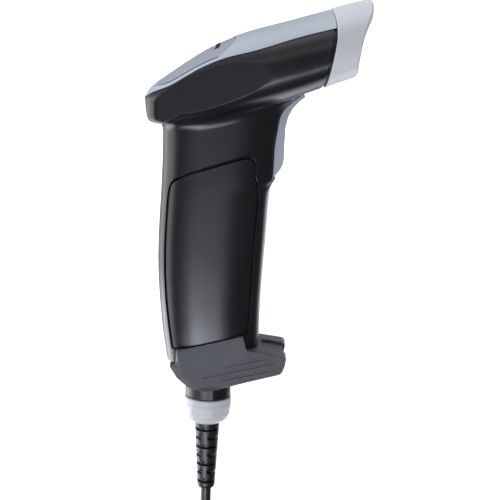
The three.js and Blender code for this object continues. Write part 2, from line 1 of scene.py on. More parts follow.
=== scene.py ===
"""Handheld barcode scanner: fine surfaces, materials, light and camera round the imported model.

Shapes are worked out in millimetres in the model's own frame and scaled to metres as their meshes are made.
"""
import json
import math

import bmesh
import bpy
import numpy as np
from mathutils import Matrix, Vector


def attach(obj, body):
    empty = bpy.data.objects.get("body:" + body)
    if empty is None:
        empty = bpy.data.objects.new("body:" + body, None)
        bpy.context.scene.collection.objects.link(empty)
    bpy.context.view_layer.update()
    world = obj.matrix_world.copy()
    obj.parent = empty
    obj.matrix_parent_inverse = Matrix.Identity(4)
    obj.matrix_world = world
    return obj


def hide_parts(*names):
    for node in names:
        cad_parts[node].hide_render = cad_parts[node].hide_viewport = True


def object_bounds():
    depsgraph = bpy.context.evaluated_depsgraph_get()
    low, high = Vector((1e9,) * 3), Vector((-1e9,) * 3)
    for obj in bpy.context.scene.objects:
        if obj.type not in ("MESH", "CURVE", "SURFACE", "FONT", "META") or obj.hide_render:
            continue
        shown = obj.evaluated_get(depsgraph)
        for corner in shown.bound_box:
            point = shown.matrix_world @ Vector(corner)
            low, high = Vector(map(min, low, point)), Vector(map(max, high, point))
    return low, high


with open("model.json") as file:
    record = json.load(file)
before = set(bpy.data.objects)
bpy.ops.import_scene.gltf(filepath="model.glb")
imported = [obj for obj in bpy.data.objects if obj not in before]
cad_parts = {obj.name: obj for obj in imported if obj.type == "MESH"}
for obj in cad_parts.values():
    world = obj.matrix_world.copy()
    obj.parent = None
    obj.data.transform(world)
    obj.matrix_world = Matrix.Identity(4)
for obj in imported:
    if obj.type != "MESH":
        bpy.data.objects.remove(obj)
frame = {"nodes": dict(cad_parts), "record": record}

cad_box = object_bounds()
scene = bpy.context.scene
MM = 0.001

# ---------- driving dimensions, in millimetres ----------
GAP = 0.3
HEAD_REAR = -25.9
HEAD_FRONT = 66
HEAD_TOP = [(HEAD_REAR, 62), (-24.8, 63.4), (-20, 67.4), (-6, 76.7), (0, 80.1), (6, 82.9), (12, 85.2),
    (19, 87.3), (30, 90.1), (48, 94.9), (HEAD_FRONT, 99.4)]
HEAD_BOTTOM = [(HEAD_REAR, 60.9), (-25.4, 58.2), (-24.9, 55.6), (-24.1, 53.4), (-22.5, 52.5), (-18, 52),
    (-10, 51.9), (0, 52.8), (20, 57.8), (30, 60.6), (40, 63.9), (48, 67), (HEAD_FRONT, 73.3)]
HEAD_HALF_WIDTH = [(HEAD_REAR, 8), (-25.3, 12.6), (-24, 16.6), (-22, 19.4), (-19.5, 21.5), (-16, 23.5),
    (-10, 26.3), (0, 28.7), (10, 30.3), (25, 31.6), (40, 32.4), (50, 33.2), (HEAD_FRONT, 34.6)]
HEAD_WIDEST = [(HEAD_REAR, 61.4), (-25, 60.8), (-20, 60.4), (0, 68), (20, 72.6), (40, 77.6),
    (HEAD_FRONT, 85)]
HEAD_ROUNDNESS = 2.6
EDGE_ROUNDNESS = 7  # the same round the lower edge of the head's rear end
EDGE_SPAN = (-20.5, -10)  # X between which that squarer edge fades out
CHEEK_TILT = 13
CHEEK_REACH = 31.37
CHEEK_START = 22.7
CHEEK_LOW = 46  # height from which the cheeks are cut
# how far inside the plane of a cheek its edge shades off, at the front and at the rear
CHEEK_SOFTNESS = (0.25, 1.8)
COVER_LINE = [(-27.5, 60.4), (-22.4, 64.3), (-15.2, 67.7), (-8, 72), (-2.1, 75.3), (6.4, 78.8), (18.6, 82),
    (35.3, 87), (49.5, 90.6), (56, 92.2)]
# the seam behind the bumper and the mouth of the bumper, as (z, x)
SEAM_LINE = [(60, 44), (68, 45.2), (76, 46.9), (86, 48.8), (91, 49.1), (96, 48.5), (104, 47)]
HOOD_LINE = [(60, 57.2), (72, 57.3), (77, 57.3), (82, 57.9), (87, 59), (91, 60.3), (97, 63.1), (104, 66)]
GRIP_REAR = [(-64, -14), (-48, -18), (-44, -18.7), (-31, -20.3), (-10, -21.5), (6.5, -21.1), (26, -19.8),
    (40, -19.1), (52, -19), (64, -19)]
GRIP_FRONT = [(-64, 19), (-36, 19.6), (-22, 20.2), (-9, 21.2), (5, 22.4), (23, 23.9), (26, 24.9),
    (29, 26.7), (42, 27.6), (47, 28.4), (53, 29.5), (56, 30.9), (59, 33.8), (64, 40.4)]
GRIP_HALF_WIDTH = [(-64, 14.0), (-45, 14.1), (-30, 14.75), (-10, 15.2), (10, 15.5), (30, 16), (44, 16.4),
    (54, 16.8), (64, 17.2)]
GRIP_ROUNDNESS = 2.7
NECK_BLEND = 4  # reach of the hollow between the head and the grip
CREASE = (12, 24)  # X between which that hollow narrows to a crease under the barrel
GRIP_TOP = 63


# ---------- curves and implicit surfaces ----------
def through(pairs):
    """Smooth curve through (x, value) pairs, as a function of x."""
    xs, vs = (np.array(side, float) for side in zip(*pairs))
    slopes = np.empty(len(xs))
    for i in range(len(xs)):
        a, b = max(i - 1, 0), min(i + 1, len(xs) - 1)
        slopes[i] = (vs[b] - vs[a]) / (xs[b] - xs[a])

    def value(x):
        i = np.clip(np.searchsorted(xs, x, side="left") - 1, 0, len(xs) - 2)
        step = xs[i + 1] - xs[i]
        t = np.clip((x - xs[i]) / step, 0, 1)
        ends = vs[i] * (1 + 2 * t) * (1 - t) ** 2 + vs[i + 1] * t * t * (3 - 2 * t)
        return ends + step * t * (1 - t) * (slopes[i] * (1 - t) - slopes[i + 1] * t)

    return value


top_at = through(HEAD_TOP)
bottom_at = through(HEAD_BOTTOM)
head_width_at = through(HEAD_HALF_WIDTH)
widest_at = through(HEAD_WIDEST)
rear_at = through(GRIP_REAR)
front_at = through(GRIP_FRONT)
grip_width_at = through(GRIP_HALF_WIDTH)
seam_at = through(SEAM_LINE)
hood_at = through(HOOD_LINE)
cover_at = through(COVER_LINE)


def head_roundness(x, lower):
    """Exponent of the head's section at x; lower is true for the half below the widest line."""
    share = np.clip((EDGE_SPAN[1] - x) / (EDGE_SPAN[1] - EDGE_SPAN[0]), 0, 1)
    return HEAD_ROUNDNESS + (EDGE_ROUNDNESS - HEAD_ROUNDNESS) * share * share * (3 - 2 * share) * lower


def head_field(p):
    x, y, z = p
    middle = widest_at(x)
    roundness = head_roundness(x, z < middle)
    rise = np.where(z > middle, top_at(x) - middle, middle - bottom_at(x))
    across = np.abs(y) / head_width_at(x)
    up = np.abs(z - middle) / np.maximum(rise, 0.2)
    return (across ** roundness + up ** roundness) ** (1 / roundness) - 1


def grip_field(p):
    x, y, z = p
    middle = (rear_at(z) + front_at(z)) / 2
    along = np.abs(x - middle) / ((front_at(z) - rear_at(z)) / 2)
    across = np.abs(y) / grip_width_at(z)
    return (along ** GRIP_ROUNDNESS + across ** GRIP_ROUNDNESS) ** (1 / GRIP_ROUNDNESS) - 1


def gradient(field, p, step=0.02):
    here = field(p)
    slopes = np.empty_like(p)
    for k in range(3):
        moved = p.copy()
        moved[k] += step
        slopes[k] = (field(moved) - here) / step
    return here, slopes


def distance(field, p):
    """Distance to the surface where the field is 0, to first order."""
    value, slopes = gradient(field, p)
    return value / np.maximum(np.sqrt((slopes ** 2).sum(0)), 1e-3)


def soft_min(a, b, reach):
    overlap = np.maximum(reach - np.abs(a - b), 0) / reach
    return np.minimum(a, b) - overlap ** 2 * reach / 4


def housing(p):
    """Distance to the head and the grip together, with the soft hollow between them."""
    head = -soft_min(-distance(head_field, p), p[0] - HEAD_REAR, 2.0)
    grip = np.maximum(distance(grip_field, p), p[2] - GRIP_TOP)
    fade = np.clip((p[0] - CREASE[0]) / (CREASE[1] - CREASE[0]), 0, 1)
    reach = 0.3 + NECK_BLEND * (1 - fade * fade * (3 - 2 * fade))
    return soft_min(head, grip, reach)


def settle(points, surface):
    """Moves points (3, n) onto the surface along its gradient."""
    for _ in range(8):
        value, slopes = gradient(surface, points, 0.05)
        steepness = np.maximum((slopes ** 2).sum(0), 0.05)
        points = points - np.clip(value / steepness, -1.0, 1.0) * slopes
    return points


# ---------- mesh helpers ----------
def new_object(name, data):
    obj = bpy.data.objects.new(name, data)
    scene.collection.objects.link(obj)
    return obj


def mesh_object(name, vertices_mm, faces, smooth=True):
    mesh = bpy.data.meshes.new(name)
    mesh.from_pydata((np.asarray(vertices_mm) * MM).tolist(), [], faces)
    mesh.update()
    if smooth:
        mesh.shade_smooth()
    return new_object(name, mesh)


def points_of(obj):
    flat = np.empty(len(obj.data.vertices) * 3)
    obj.data.vertices.foreach_get("co", flat)
    return flat.reshape(-1, 3).T / MM


def apply_modifiers(obj):
    graph = bpy.context.evaluated_depsgraph_get()
    mesh = bpy.data.meshes.new_from_object(obj.evaluated_get(graph))
    old = obj.data
    obj.modifiers.clear()
    obj.data = mesh
    bpy.data.meshes.remove(old)


def boolean(obj, cutter, operation="DIFFERENCE"):
    modifier = obj.modifiers.new("cut", "BOOLEAN")
    modifier.operation = operation
    modifier.solver = "EXACT"
    modifier.object = cutter
    apply_modifiers(obj)
    bpy.data.objects.remove(cutter)
    return obj


def copy_of(obj, name):
    twin = obj.copy()
    twin.data = obj.data.copy()
    twin.name = name
    scene.collection.objects.link(twin)
    return twin


def crisp(obj, degrees):
    """Smooth shading that breaks at real edges."""
    obj.data.shade_smooth()
    obj.data.set_sharp_from_angle(angle=math.radians(degrees))
    modifier = obj.modifiers.new("even", "WEIGHTED_NORMAL")
    modifier.keep_sharp = True
    modifier.weight = 100
    apply_modifiers(obj)
    return obj


def skinned(name, rings, closed_along=False, smooth=True):
    """Solid over a row of rings of equal length, with capped ends unless the row closes on itself."""
    count, sides = len(rings), len(rings[0])
    faces = []
    for r in range(count if closed_along else count - 1):
        a, b = r * sides, ((r + 1) % count) * sides
        for k in range(sides):
            n = (k + 1) % sides
            faces.append((a + k, a + n, b + n, b + k))
    if not closed_along:
        faces.append(tuple(range(sides))[::-1])
        faces.append(tuple((count - 1) * sides + k for k in range(sides)))
    obj = mesh_object(name, np.concatenate([np.asarray(r, float) for r in rings]), faces, smooth)
    edit = bmesh.new()
    edit.from_mesh(obj.data)
    bmesh.ops.recalc_face_normals(edit, faces=edit.faces)
    edit.to_mesh(obj.data)
    edit.free()
    return obj


def soften(obj, width, segments):
    """Rounds every edge sharper than 40 degrees."""
    modifier = obj.modifiers.new("round", "BEVEL")
    modifier.width = width * MM
    modifier.segments = segments
    modifier.limit_method = "ANGLE"
    modifier.angle_limit = math.radians(40)
    apply_modifiers(obj)
    return obj


def prism(name, outline, axis, low, high):
    """Solid cut to an outline: (x, z) pairs run along y, (x, y) pairs along z."""
    flat = np.asarray(outline, float)
    rings = []
    for level in (low, high):
        ring = np.full((len(flat), 3), float(level))
        ring[:, 0] = flat[:, 0]
        ring[:, 2 if axis == "y" else 1] = flat[:, 1]
        rings.append(ring)
    return skinned(name, rings, smooth=False)


def lathe(name, profile, sides=96, change=None):
    """Turned solid about z from a closed line of (radius, z) pairs.

    change(turn, z, radius), where given, is added to the radius.
    """
    turn = np.linspace(0, 2 * math.pi, sides, endpoint=False)
    rings = []
    for radius, z in profile:
        r = radius + (change(turn, z, radius) if change else 0)
        rings.append(np.stack([r * np.cos(turn), r * np.sin(turn), np.full(sides, z)], 1))
    return skinned(name, rings, closed_along=True)


def even_spacing(line, count):
    closed = np.vstack([line, line[:1]])
    run = np.concatenate([[0], np.cumsum(np.linalg.norm(np.diff(closed, axis=0), axis=1))])
    stops = np.linspace(0, run[-1], count, endpoint=False)
    return np.stack([np.interp(stops, run, closed[:, k]) for k in range(closed.shape[1])], 1)


def round_corners(points, radius, arc_steps=6):
    """Polygon with its corners rounded; radius is one number or one for each corner."""
    base = np.asarray(points, float)
    radii = np.full(len(base), radius, float) if np.isscalar(radius) else np.asarray(radius, float)
    out = []
    for i, corner in enumerate(base):
        before, after = base[i - 1] - corner, base[(i + 1) % len(base)] - corner
        u, v = before / np.linalg.norm(before), after / np.linalg.norm(after)
        half = math.acos(np.clip(u @ v, -1, 1)) / 2
        reach = min(radii[i] / math.tan(half), 0.48 * np.linalg.norm(before), 0.48 * np.linalg.norm(after))
        if radii[i] <= 0 or half > 1.53:
            out.append(corner)
            continue
        for t in np.linspace(0, 1, arc_steps):
            out.append(corner + u * reach * (1 - t) ** 2 + v * reach * t ** 2)
    return np.array(out)


def inset_outline(line, amount):
    """Closed outline moved inwards by amount."""
    ahead, back = np.roll(line, -1, 0), np.roll(line, 1, 0)
    along = ahead - back
    along /= np.linalg.norm(along, axis=1)[:, None]
    normal = np.stack([-along[:, 1], along[:, 0]], 1)
    area = 0.5 * np.sum(line[:, 0] * ahead[:, 1] - ahead[:, 0] * line[:, 1])
    return line + normal * amount * np.sign(area)


# ---------- camera ----------
CAMERA_TARGET = Vector((15.9, 0, -2.1)) * MM
CAMERA_DISTANCE = 0.650
CAMERA_RISE = math.radians(13)
camera_data = bpy.data.cameras.new("camera")
camera_data.lens = 114.62
camera_data.sensor_width = 36
camera = new_object("camera", camera_data)
camera.location = CAMERA_TARGET + CAMERA_DISTANCE * Vector((0, -math.cos(CAMERA_RISE), math.sin(CAMERA_RISE)))
camera.rotation_euler = (math.pi / 2 - CAMERA_RISE, 0, 0)
scene.camera = camera

# ---------- the cable and its hank, in millimetres ----------
OUTLET_X = -1.5
OUTLET_LEAN = math.radians(1.5)
OUTLET_TOP = -57.5
RELIEF_END = -46.9
CABLE_RADIUS = 2.2
HANK_TOP = -124
HANK_RUN = 84.5
HANK_END_RADIUS = 20.2
INNER_TURN = 13.5
OUTER_TURN = 17.9
BACK_LAYER = 13.4
MIDDLE_LAYER = 9.0
FRONT_LAYER = 4.5
PLUG_TOP = -261.5


def outlet_point(along):
    return np.array([OUTLET_X + along * math.sin(OUTLET_LEAN), 0, OUTLET_TOP + along * math.cos(OUTLET_LEAN)])


HANK_X = outlet_point(RELIEF_END)[0] - 0.2
ARC_TOP = HANK_TOP - HANK_END_RADIUS
ARC_LOW = ARC_TOP - HANK_RUN
HANK_MIDDLE = (ARC_TOP + ARC_LOW) / 2


def ease(t):
    t = min(max(t, 0), 1)
    return t * t * (3 - 2 * t)


def straight_run(start, end, steps=10):
    """Run of the hank between two (x, y, z) points that leaves and arrives along z."""
    out = []
    for k in range(1, steps + 1):
        t = k / steps
        x, y = (start[i] + (end[i] - start[i]) * ease(t) for i in (0, 1))
        out.append((HANK_X + x, y, start[2] + (end[2] - start[2]) * t))
    return out


def end_arc(centre_z, radii, y, first_angle, steps=16):
    """Half turn at an end of the hank, from the first radius to the second."""
    out = []
    for k in range(1, steps + 1):
        angle = first_angle + math.pi * k / steps
        radius = radii[0] + (radii[1] - radii[0]) * ease(k / steps)
        out.append((HANK_X + radius * math.cos(angle), y, centre_z + radius * math.sin(angle)))
    return out


def cable_route():
    exit_point = outlet_point(RELIEF_END - GAP)
    route = [tuple(exit_point), (HANK_X, 0, -110), (HANK_X, 0, -118), (HANK_X, 0, -126)]
    for z in np.linspace(-134, ARC_LOW, 26):
        route.append((HANK_X - INNER_TURN * ease((-184 - z) / 44.7), BACK_LAYER * ease((-134 - z) / 36), z))
    inner, outer = INNER_TURN, OUTER_TURN
    back, middle, front = BACK_LAYER, MIDDLE_LAYER, FRONT_LAYER
    # (radius, layer) of each turn: low and midway on the right, at both ends of the top, then midway and
    # low on the left
    turns = [[(inner, back)] * 5 + [(outer, back)],
             [(outer, back)] * 4 + [(outer, middle)] * 2,
             [(outer, middle)] * 3 + [(inner, middle)] * 3,
             [(inner, middle)] * 2 + [(inner, front)] * 4,
             [(inner, front)] + [(outer, front)] * 5]
    for low, right, top_in, top_out, left, bottom in turns:
        route += end_arc(ARC_LOW, (low[0], low[0]), low[1], math.pi)
        route += straight_run((low[0], low[1], ARC_LOW), (right[0], right[1], HANK_MIDDLE))
        route += straight_run((right[0], right[1], HANK_MIDDLE), (top_in[0], top_in[1], ARC_TOP))
        route += end_arc(ARC_TOP, (top_in[0], top_out[0]), top_out[1], 0)
        route += straight_run((-top_out[0], top_out[1], ARC_TOP), (-left[0], left[1], HANK_MIDDLE))
        last = (-bottom[0], 0 if bottom == (outer, front) and low == (inner, front) else bottom[1], ARC_LOW)
        route += straight_run((-left[0], left[1], HANK_MIDDLE), last)
    for z in np.linspace(ARC_LOW, PLUG_TOP - 4, 14)[1:]:
        route.append((HANK_X - OUTER_TURN * (1 - ease((ARC_LOW - z) / 33)), 0, z))
    return route


# ---------- materials ----------
def linear(red, green, blue):
    """Linear colour from the 0-255 numbers of a colour picker."""
    def one(value):
        value /= 255
        return value / 12.92 if value <= 0.04045 else ((value + 0.055) / 1.055) ** 2.4
    return one(red), one(green), one(blue), 1.0


def scaled(colour, factor):
    return tuple(min(c * factor, 1) for c in colour[:3]) + (1.0,)


def finish_of(name, colour, roughness, *, uneven=0.05, metal=0.0, specular=0.5, coat=0.0, coat_roughness=0.1,
              grain=0.35, grain_depth=0.01, mottle=0.06, wear=0.0, edge=0.0002, sheen=0.0, stretch=(1, 1, 1)):
    """Moulded, painted or metal finish: fine grain, uneven colour and gloss, and paler worn edges.

    grain and grain_depth are the texture's size and height in millimetres, and edge is the radius in
    metres to which sharp edges look rounded.
    """
    material = bpy.data.materials.new("fine_" + name)
    material.use_nodes = True
    nodes, links = material.node_tree.nodes, material.node_tree.links
    shader = nodes["Principled BSDF"]
    shader.inputs["Metallic"].default_value = metal
    shader.inputs["Specular IOR Level"].default_value = specular
    shader.inputs["Coat Weight"].default_value = coat
    shader.inputs["Coat Roughness"].default_value = coat_roughness
    shader.inputs["Sheen Weight"].default_value = sheen

    place = nodes.new("ShaderNodeTexCoord")
    turn = nodes.new("ShaderNodeMapping")
    turn.inputs["Scale"].default_value = stretch
    links.new(place.outputs["Object"], turn.inputs["Vector"])

    def noise(size_mm, detail):
        node = nodes.new("ShaderNodeTexNoise")
        node.inputs["Scale"].default_value = 1000 / size_mm
        node.inputs["Detail"].default_value = detail
        node.inputs["Roughness"].default_value = 0.55
        links.new(turn.outputs["Vector"], node.inputs["Vector"])
        return node.outputs["Fac"]

    def blend(share, colour_two):
        node = nodes.new("ShaderNodeMix")
        node.data_type = "RGBA"
        node.inputs[7].default_value = colour_two
        links.new(share, node.inputs[0])
        return node

    def spread(value, low, high, to_low, to_high):
        node = nodes.new("ShaderNodeMapRange")
        node.inputs["From Min"].default_value = low
        node.inputs["From Max"].default_value = high
        node.inputs["To Min"].default_value = to_low
        node.inputs["To Max"].default_value = to_high
        links.new(value, node.inputs["Value"])
        return node.outputs["Result"]

    broad = noise(22, 4)
    fine = noise(grain, 2)
    mottled = blend(spread(broad, 0.35, 0.65, 0, 1), scaled(colour, 1 + mottle))
    mottled.inputs[6].default_value = scaled(colour, 1 - mottle)
    shade = mottled.outputs[2]
    if wear:
        corner = nodes.new("ShaderNodeNewGeometry")
        rubbed = blend(spread(corner.outputs["Pointiness"], 0.52, 0.62, 0, wear), scaled(colour, 1.5))
        links.new(shade, rubbed.inputs[6])
        shade = rubbed.outputs[2]
    links.new(shade, shader.inputs["Base Color"])
    links.new(spread(noise(6, 3), 0.3, 0.7, max(roughness - uneven, 0.02), min(roughness + uneven, 1)),
              shader.inputs["Roughness"])

    rounded = nodes.new("ShaderNodeBevel")
    rounded.samples = 4
    rounded.inputs["Radius"].default_value = edge
    bump = nodes.new("ShaderNodeBump")
    bump.inputs["Strength"].default_value = 1.0
    bump.inputs["Distance"].default_value = grain_depth * MM
    links.new(fine, bump.inputs["Height"])
    links.new(rounded.outputs["Normal"], bump.inputs["Normal"])
    links.new(bump.outputs["Normal"], shader.inputs["Normal"])
    return material


def slot_name(material):
    return material.name.removeprefix("fine_")


SHELL = finish_of("shell_black", linear(28, 27, 32), 0.305, uneven=0.02, specular=0.45, grain=0.28,
    grain_depth=0.005, wear=0.3, edge=0.0004)
COVER = finish_of("cover_grey", linear(176, 184, 196), 0.34, grain=0.2, grain_depth=0.003, mottle=0.02,
    wear=0.1, coat=0.15, coat_roughness=0.25)
PLATE = finish_of("plate_grey", linear(149, 154, 168), 0.38, grain=0.2, grain_depth=0.003, mottle=0.02,
    wear=0.1)
BUMPER = finish_of("bumper_rubber", linear(194, 197, 202), 0.5, specular=0.35, grain=0.3, grain_depth=0.004,
    mottle=0.02, sheen=0.05)
TRIGGER = finish_of("trigger_grey", linear(162, 168, 183), 0.4, grain=0.25, grain_depth=0.004, mottle=0.03)
PANEL = finish_of("panel_satin", linear(28, 27, 32), 0.305, uneven=0.02, specular=0.45, grain=0.3,
    grain_depth=0.004, mottle=0.05, wear=0.2, edge=0.0004)
BOOT = finish_of("boot_rubber", linear(66, 67, 73), 0.6, wear=0.2)
CABLE = finish_of("cable_rubber", linear(27, 27, 31), 0.4, specular=0.45, grain_depth=0.006, mottle=0.08)
RING = finish_of("ring_grey", linear(190, 193, 198), 0.46, specular=0.35, grain=0.25, grain_depth=0.004,
    mottle=0.02)
GASKET = finish_of("gasket_black", linear(26, 26, 28), 0.7, grain=0.4)
finish_of("board_green", linear(20, 92, 56), 0.36, grain=0.8, mottle=0.12, coat=0.4)
finish_of("chip_black", linear(24, 24, 26), 0.55, grain=0.25)
STEEL = finish_of("steel", linear(190, 192, 196), 0.34, metal=1.0, grain=0.5, grain_depth=0.006,
    stretch=(1, 1, 0.1))
finish_of("brass", linear(205, 172, 105), 0.35, metal=1.0, grain=0.4, grain_depth=0.006,
    stretch=(0.2, 1, 1))
finish_of("copper", linear(190, 120, 80), 0.34, metal=1.0, grain=0.3)
finish_of("mirror", linear(240, 242, 245), 0.04, metal=1.0, grain=2, grain_depth=0.0005, mottle=0.01)
finish_of("engine_metal", linear(165, 167, 172), 0.48, metal=1.0, grain=0.5, grain_depth=0.02)
finish_of("natural_plastic", linear(222, 220, 210), 0.45, grain=0.4, grain_depth=0.006)
WINDOW = finish_of("window_red", linear(96, 12, 20), 0.06, specular=0.6, grain=3, grain_depth=0.0008,
    mottle=0.05)
SMOKE = finish_of("indicator_smoke", linear(30, 30, 34), 0.12, grain=3, grain_depth=0.001, mottle=0.05)
BY_SLOT = {slot_name(each): each for each in bpy.data.materials if each.name.startswith("fine_")}


def dress(obj, material, *nodes, body="housing"):
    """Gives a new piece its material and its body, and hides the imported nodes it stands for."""
    obj.data.materials.clear()
    obj.data.materials.append(material)
    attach(obj, body)
    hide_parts(*nodes)
    return obj


# ---------- fine forms of the head and the grip ----------
SIDES = 144
VOXEL = 0.8
TURN = np.linspace(0, 2 * math.pi, SIDES, endpoint=False)
STATION = 1.5  # spacing of the sections of the head, except near its rear end
REAR_CURL = 13  # length over which they come closer and closer
GRIP_SECTIONS = 86
WALL = 2.2
PANEL_DEPTH = 1.6
PANEL_SINK = 0.5


def round_square(turn, roundness):
    c, s = np.cos(turn), np.sin(turn)
    size = (np.abs(c) ** roundness + np.abs(s) ** roundness) ** (1 / roundness)
    return c / size, s / size


def head_ring(x, inset, turn=TURN):
    """Section of the head at x, which may be one number or one for each point."""
    x = np.broadcast_to(np.asarray(x, float), turn.shape)
    across, up = round_square(turn, head_roundness(x, np.sin(turn) < 0))
    middle = widest_at(x)
    rise = np.where(up > 0, top_at(x) - inset - middle, middle - bottom_at(x) - inset)
    return np.stack([x, (head_width_at(x) - inset) * across, middle + rise * up], 1)


def head_loft(name, inset):
    rear = HEAD_REAR + inset + 0.01
    curl = rear + REAR_CURL * np.linspace(0, 1, 20, endpoint=False) ** 2
    stations = np.concatenate([curl, np.arange(rear + REAR_CURL, HEAD_FRONT, STATION), [HEAD_FRONT]])
    return skinned(name, [head_ring(x, inset) for x in stations])


def grip_ring(z, inset):
    along, across = round_square(TURN, GRIP_ROUNDNESS)
    middle = (rear_at(z) + front_at(z)) / 2
    half = (front_at(z) - rear_at(z)) / 2 - inset
    return np.stack([middle + half * along, (grip_width_at(z) - inset) * across, np.full(SIDES, z)], 1)


def grip_loft(name, inset):
    levels = np.linspace(GRIP_REAR[0][0], GRIP_REAR[-1][0], GRIP_SECTIONS)
    return skinned(name, [grip_ring(z, inset) for z in levels])


def cheek_at(x):
    """Half width at x between the flat cheeks."""
    return CHEEK_REACH + (x - CHEEK_START) * math.tan(math.radians(CHEEK_TILT))


def cut_cheeks(form, inset):
    """Cuts both cheeks from a form that is drawn in by inset."""
    front = CHEEK_START + 4
    for side in (-1, 1):
        line = [(x, side * (cheek_at(x) - inset)) for x in (-40, front)]
        boolean(form, prism("cheek", line + [(front, side * 60), (-40, side * 60)], "z", CHEEK_LOW, 110))
    return form


def solid_form():
    """Head and grip in one skin with a soft hollow between them, before anything is cut."""
    form = boolean(head_loft("form", 0), grip_loft("grip", 0), "UNION")
    remesh = form.modifiers.new("even", "REMESH")
    remesh.mode = "VOXEL"
    remesh.voxel_size = VOXEL * MM
    apply_modifiers(form)
    points = points_of(form)
    near = (points[0] < 62) & (points[2] > -61)  # clear of the flat ends
    points[:, near] = settle(points[:, near], housing)
    form.data.vertices.foreach_set("co", (points.T * MM).ravel())
    form.data.update()
    return cut_cheeks(form, 0)


def above_cover_line(name, lift):
    xs = np.linspace(COVER_LINE[0][0], COVER_LINE[-1][0], 60)
    fine = [(x, float(cover_at(x)) + lift) for x in xs]
    around = [(80, COVER_LINE[-1][1] + lift + 6), (80, 130), (-40, 130)]
    return prism(name, [(-40, COVER_LINE[0][1] + lift - 1)] + fine + around, "y", -60, 60)


def ahead_of_seam(name, shift):
    levels = np.linspace(104, 60, 50)
    return prism(name, [(90, 60), (90, 104)] + [(float(seam_at(z)) + shift, z) for z in levels], "y", -60, 60)


def cheek_field(side):
    return lambda p: side * p[1] - cheek_at(p[0])


CHEEKS = (cheek_field(1), cheek_field(-1))
SHARP_ANGLE = math.radians(34)
NEAR_ANGLE = math.radians(18)  # how far a face may lean from a surface whose normals it takes


def smooth_normals(obj, *fields):
    """Face corners that lie along a worked-out surface take that surface's own normal.

    Beside the cheeks the normals turn towards the cheek, except below it, where the edge stays crisp.
    """
    mesh = obj.data
    mesh.shade_smooth()
    mesh.set_sharp_from_angle(angle=SHARP_ANGLE)
    count = len(mesh.loops)
    vertex_of = np.empty(count, int)
    mesh.loops.foreach_get("vertex_index", vertex_of)
    points = points_of(obj)
    totals = np.empty(len(mesh.polygons), int)
    mesh.polygons.foreach_get("loop_total", totals)
    flat = np.empty(len(mesh.polygons) * 3)
    mesh.polygons.foreach_get("normal", flat)
    face_normals = np.repeat(flat.reshape(-1, 3), totals, axis=0)
    chosen = np.zeros((count, 3))
    best = np.full(count, math.cos(NEAR_ANGLE))
    for field in fields:
        _, slopes = gradient(field, points, 0.05)
        normals = (slopes / np.maximum(np.sqrt((slopes ** 2).sum(0)), 1e-9)).T[vertex_of]
        for sign in (1, -1):
            match = sign * (normals * face_normals).sum(1)
            take = match > best
            chosen[take] = sign * normals[take]
            best[take] = match[take]
    for cheek in CHEEKS:
        depth, slopes = gradient(cheek, points, 0.05)
        flat_normal = slopes[:, 0] / np.linalg.norm(slopes[:, 0])
        rearward = np.clip((2 - points[0][vertex_of]) / 18, 0, 1)
        softness = CHEEK_SOFTNESS[0] + (CHEEK_SOFTNESS[1] - CHEEK_SOFTNESS[0]) * rearward
        beside = np.clip(1 + depth[vertex_of] / softness, 0, 1) * (points[2][vertex_of] > CHEEK_LOW)
        beside *= np.clip((chosen[:, 2] + 0.42) / 0.3, 0, 1) * (chosen @ flat_normal > 0.4)
        share = (beside * beside * (3 - 2 * beside))[:, None]
        turned = chosen * (1 - share) + flat_normal * share
        size = np.maximum(np.linalg.norm(turned, axis=1, keepdims=True), 1e-9)
        chosen = np.where(share > 0, turned / size, chosen)
    mesh.normals_split_custom_set(chosen.tolist())
    return obj


# ---------- side panels ----------
PANEL_OUTLINE = [(-15.8, 27), (-14, 29.4), (-8.9, 32.4), (-1.5, 34.8), (5.9, 37), (13.3, 39), (15.5, 39.2),
    (17.3, 38), (17.9, 36), (17.7, 31.5), (19, 26.5), (19, 21), (17.4, 4), (16.8, -7), (15.4, -28),
    (14.6, -33.6), (12.6, -34.3), (-13.9, -40.4), (-15.8, -40.9), (-17, -31), (-18, -20), (-18.4, -9),
    (-18.2, 2), (-17.5, 13), (-16.7, 22.6)]
PANEL_LINE = round_corners(PANEL_OUTLINE, 6, 5)
PANEL_STEP = 1.2  # how far the panel's top edge lies below the edge of its pocket


def lowered_top(line):
    """Outline with its top edge moved down, and the rest as it was."""
    share = np.clip((line[:, 1] - 24) / 8, 0, 1)
    return np.stack([line[:, 0], line[:, 1] - PANEL_STEP * share], 1)


def side_panel(side):
    near, far = (-40, -4) if side < 0 else (4, 40)
    panel = prism("panel", lowered_top(PANEL_LINE), "y", near, far)
    boolean(panel, grip_loft("skin", PANEL_SINK), "INTERSECT")
    boolean(panel, grip_loft("back", PANEL_SINK + PANEL_DEPTH))
    return smooth_normals(panel, grip_field)


def panel_pockets():
    across = prism("pockets", inset_outline(PANEL_LINE, -GAP), "y", -40, 40)
    return boolean(across, grip_loft("core", PANEL_SINK + PANEL_DEPTH + GAP))


# ---------- shells and cover ----------
TRIGGER_HALF = 8.6
TRIGGER_PIVOT = (30.5, 61.6)
PIN_RADIUS = 1.2
HOUSING_SCREWS = [(0, 22), (-1, -22)]
SCREW_RADIUS = 1.5
SCREW_HEAD_RADIUS = 2.7
BOSS_RADIUS = 3.4
BOOT_REGION = [(-40, -47.1), (-14.9, -47.1), (-14.5, -40.9), (13.1, -34.4), (14.6, -40.2), (40, -44.7),
    (40, -90), (-40, -90)]
TRIGGER_OPENING = [(38.9, 66.4), (38.9, 58), (34, 40), (34, 27.9), (18.5, 27.9), (18.5, 46), (20.5, 56),
    (26, 62), (26.6, 66.4)]


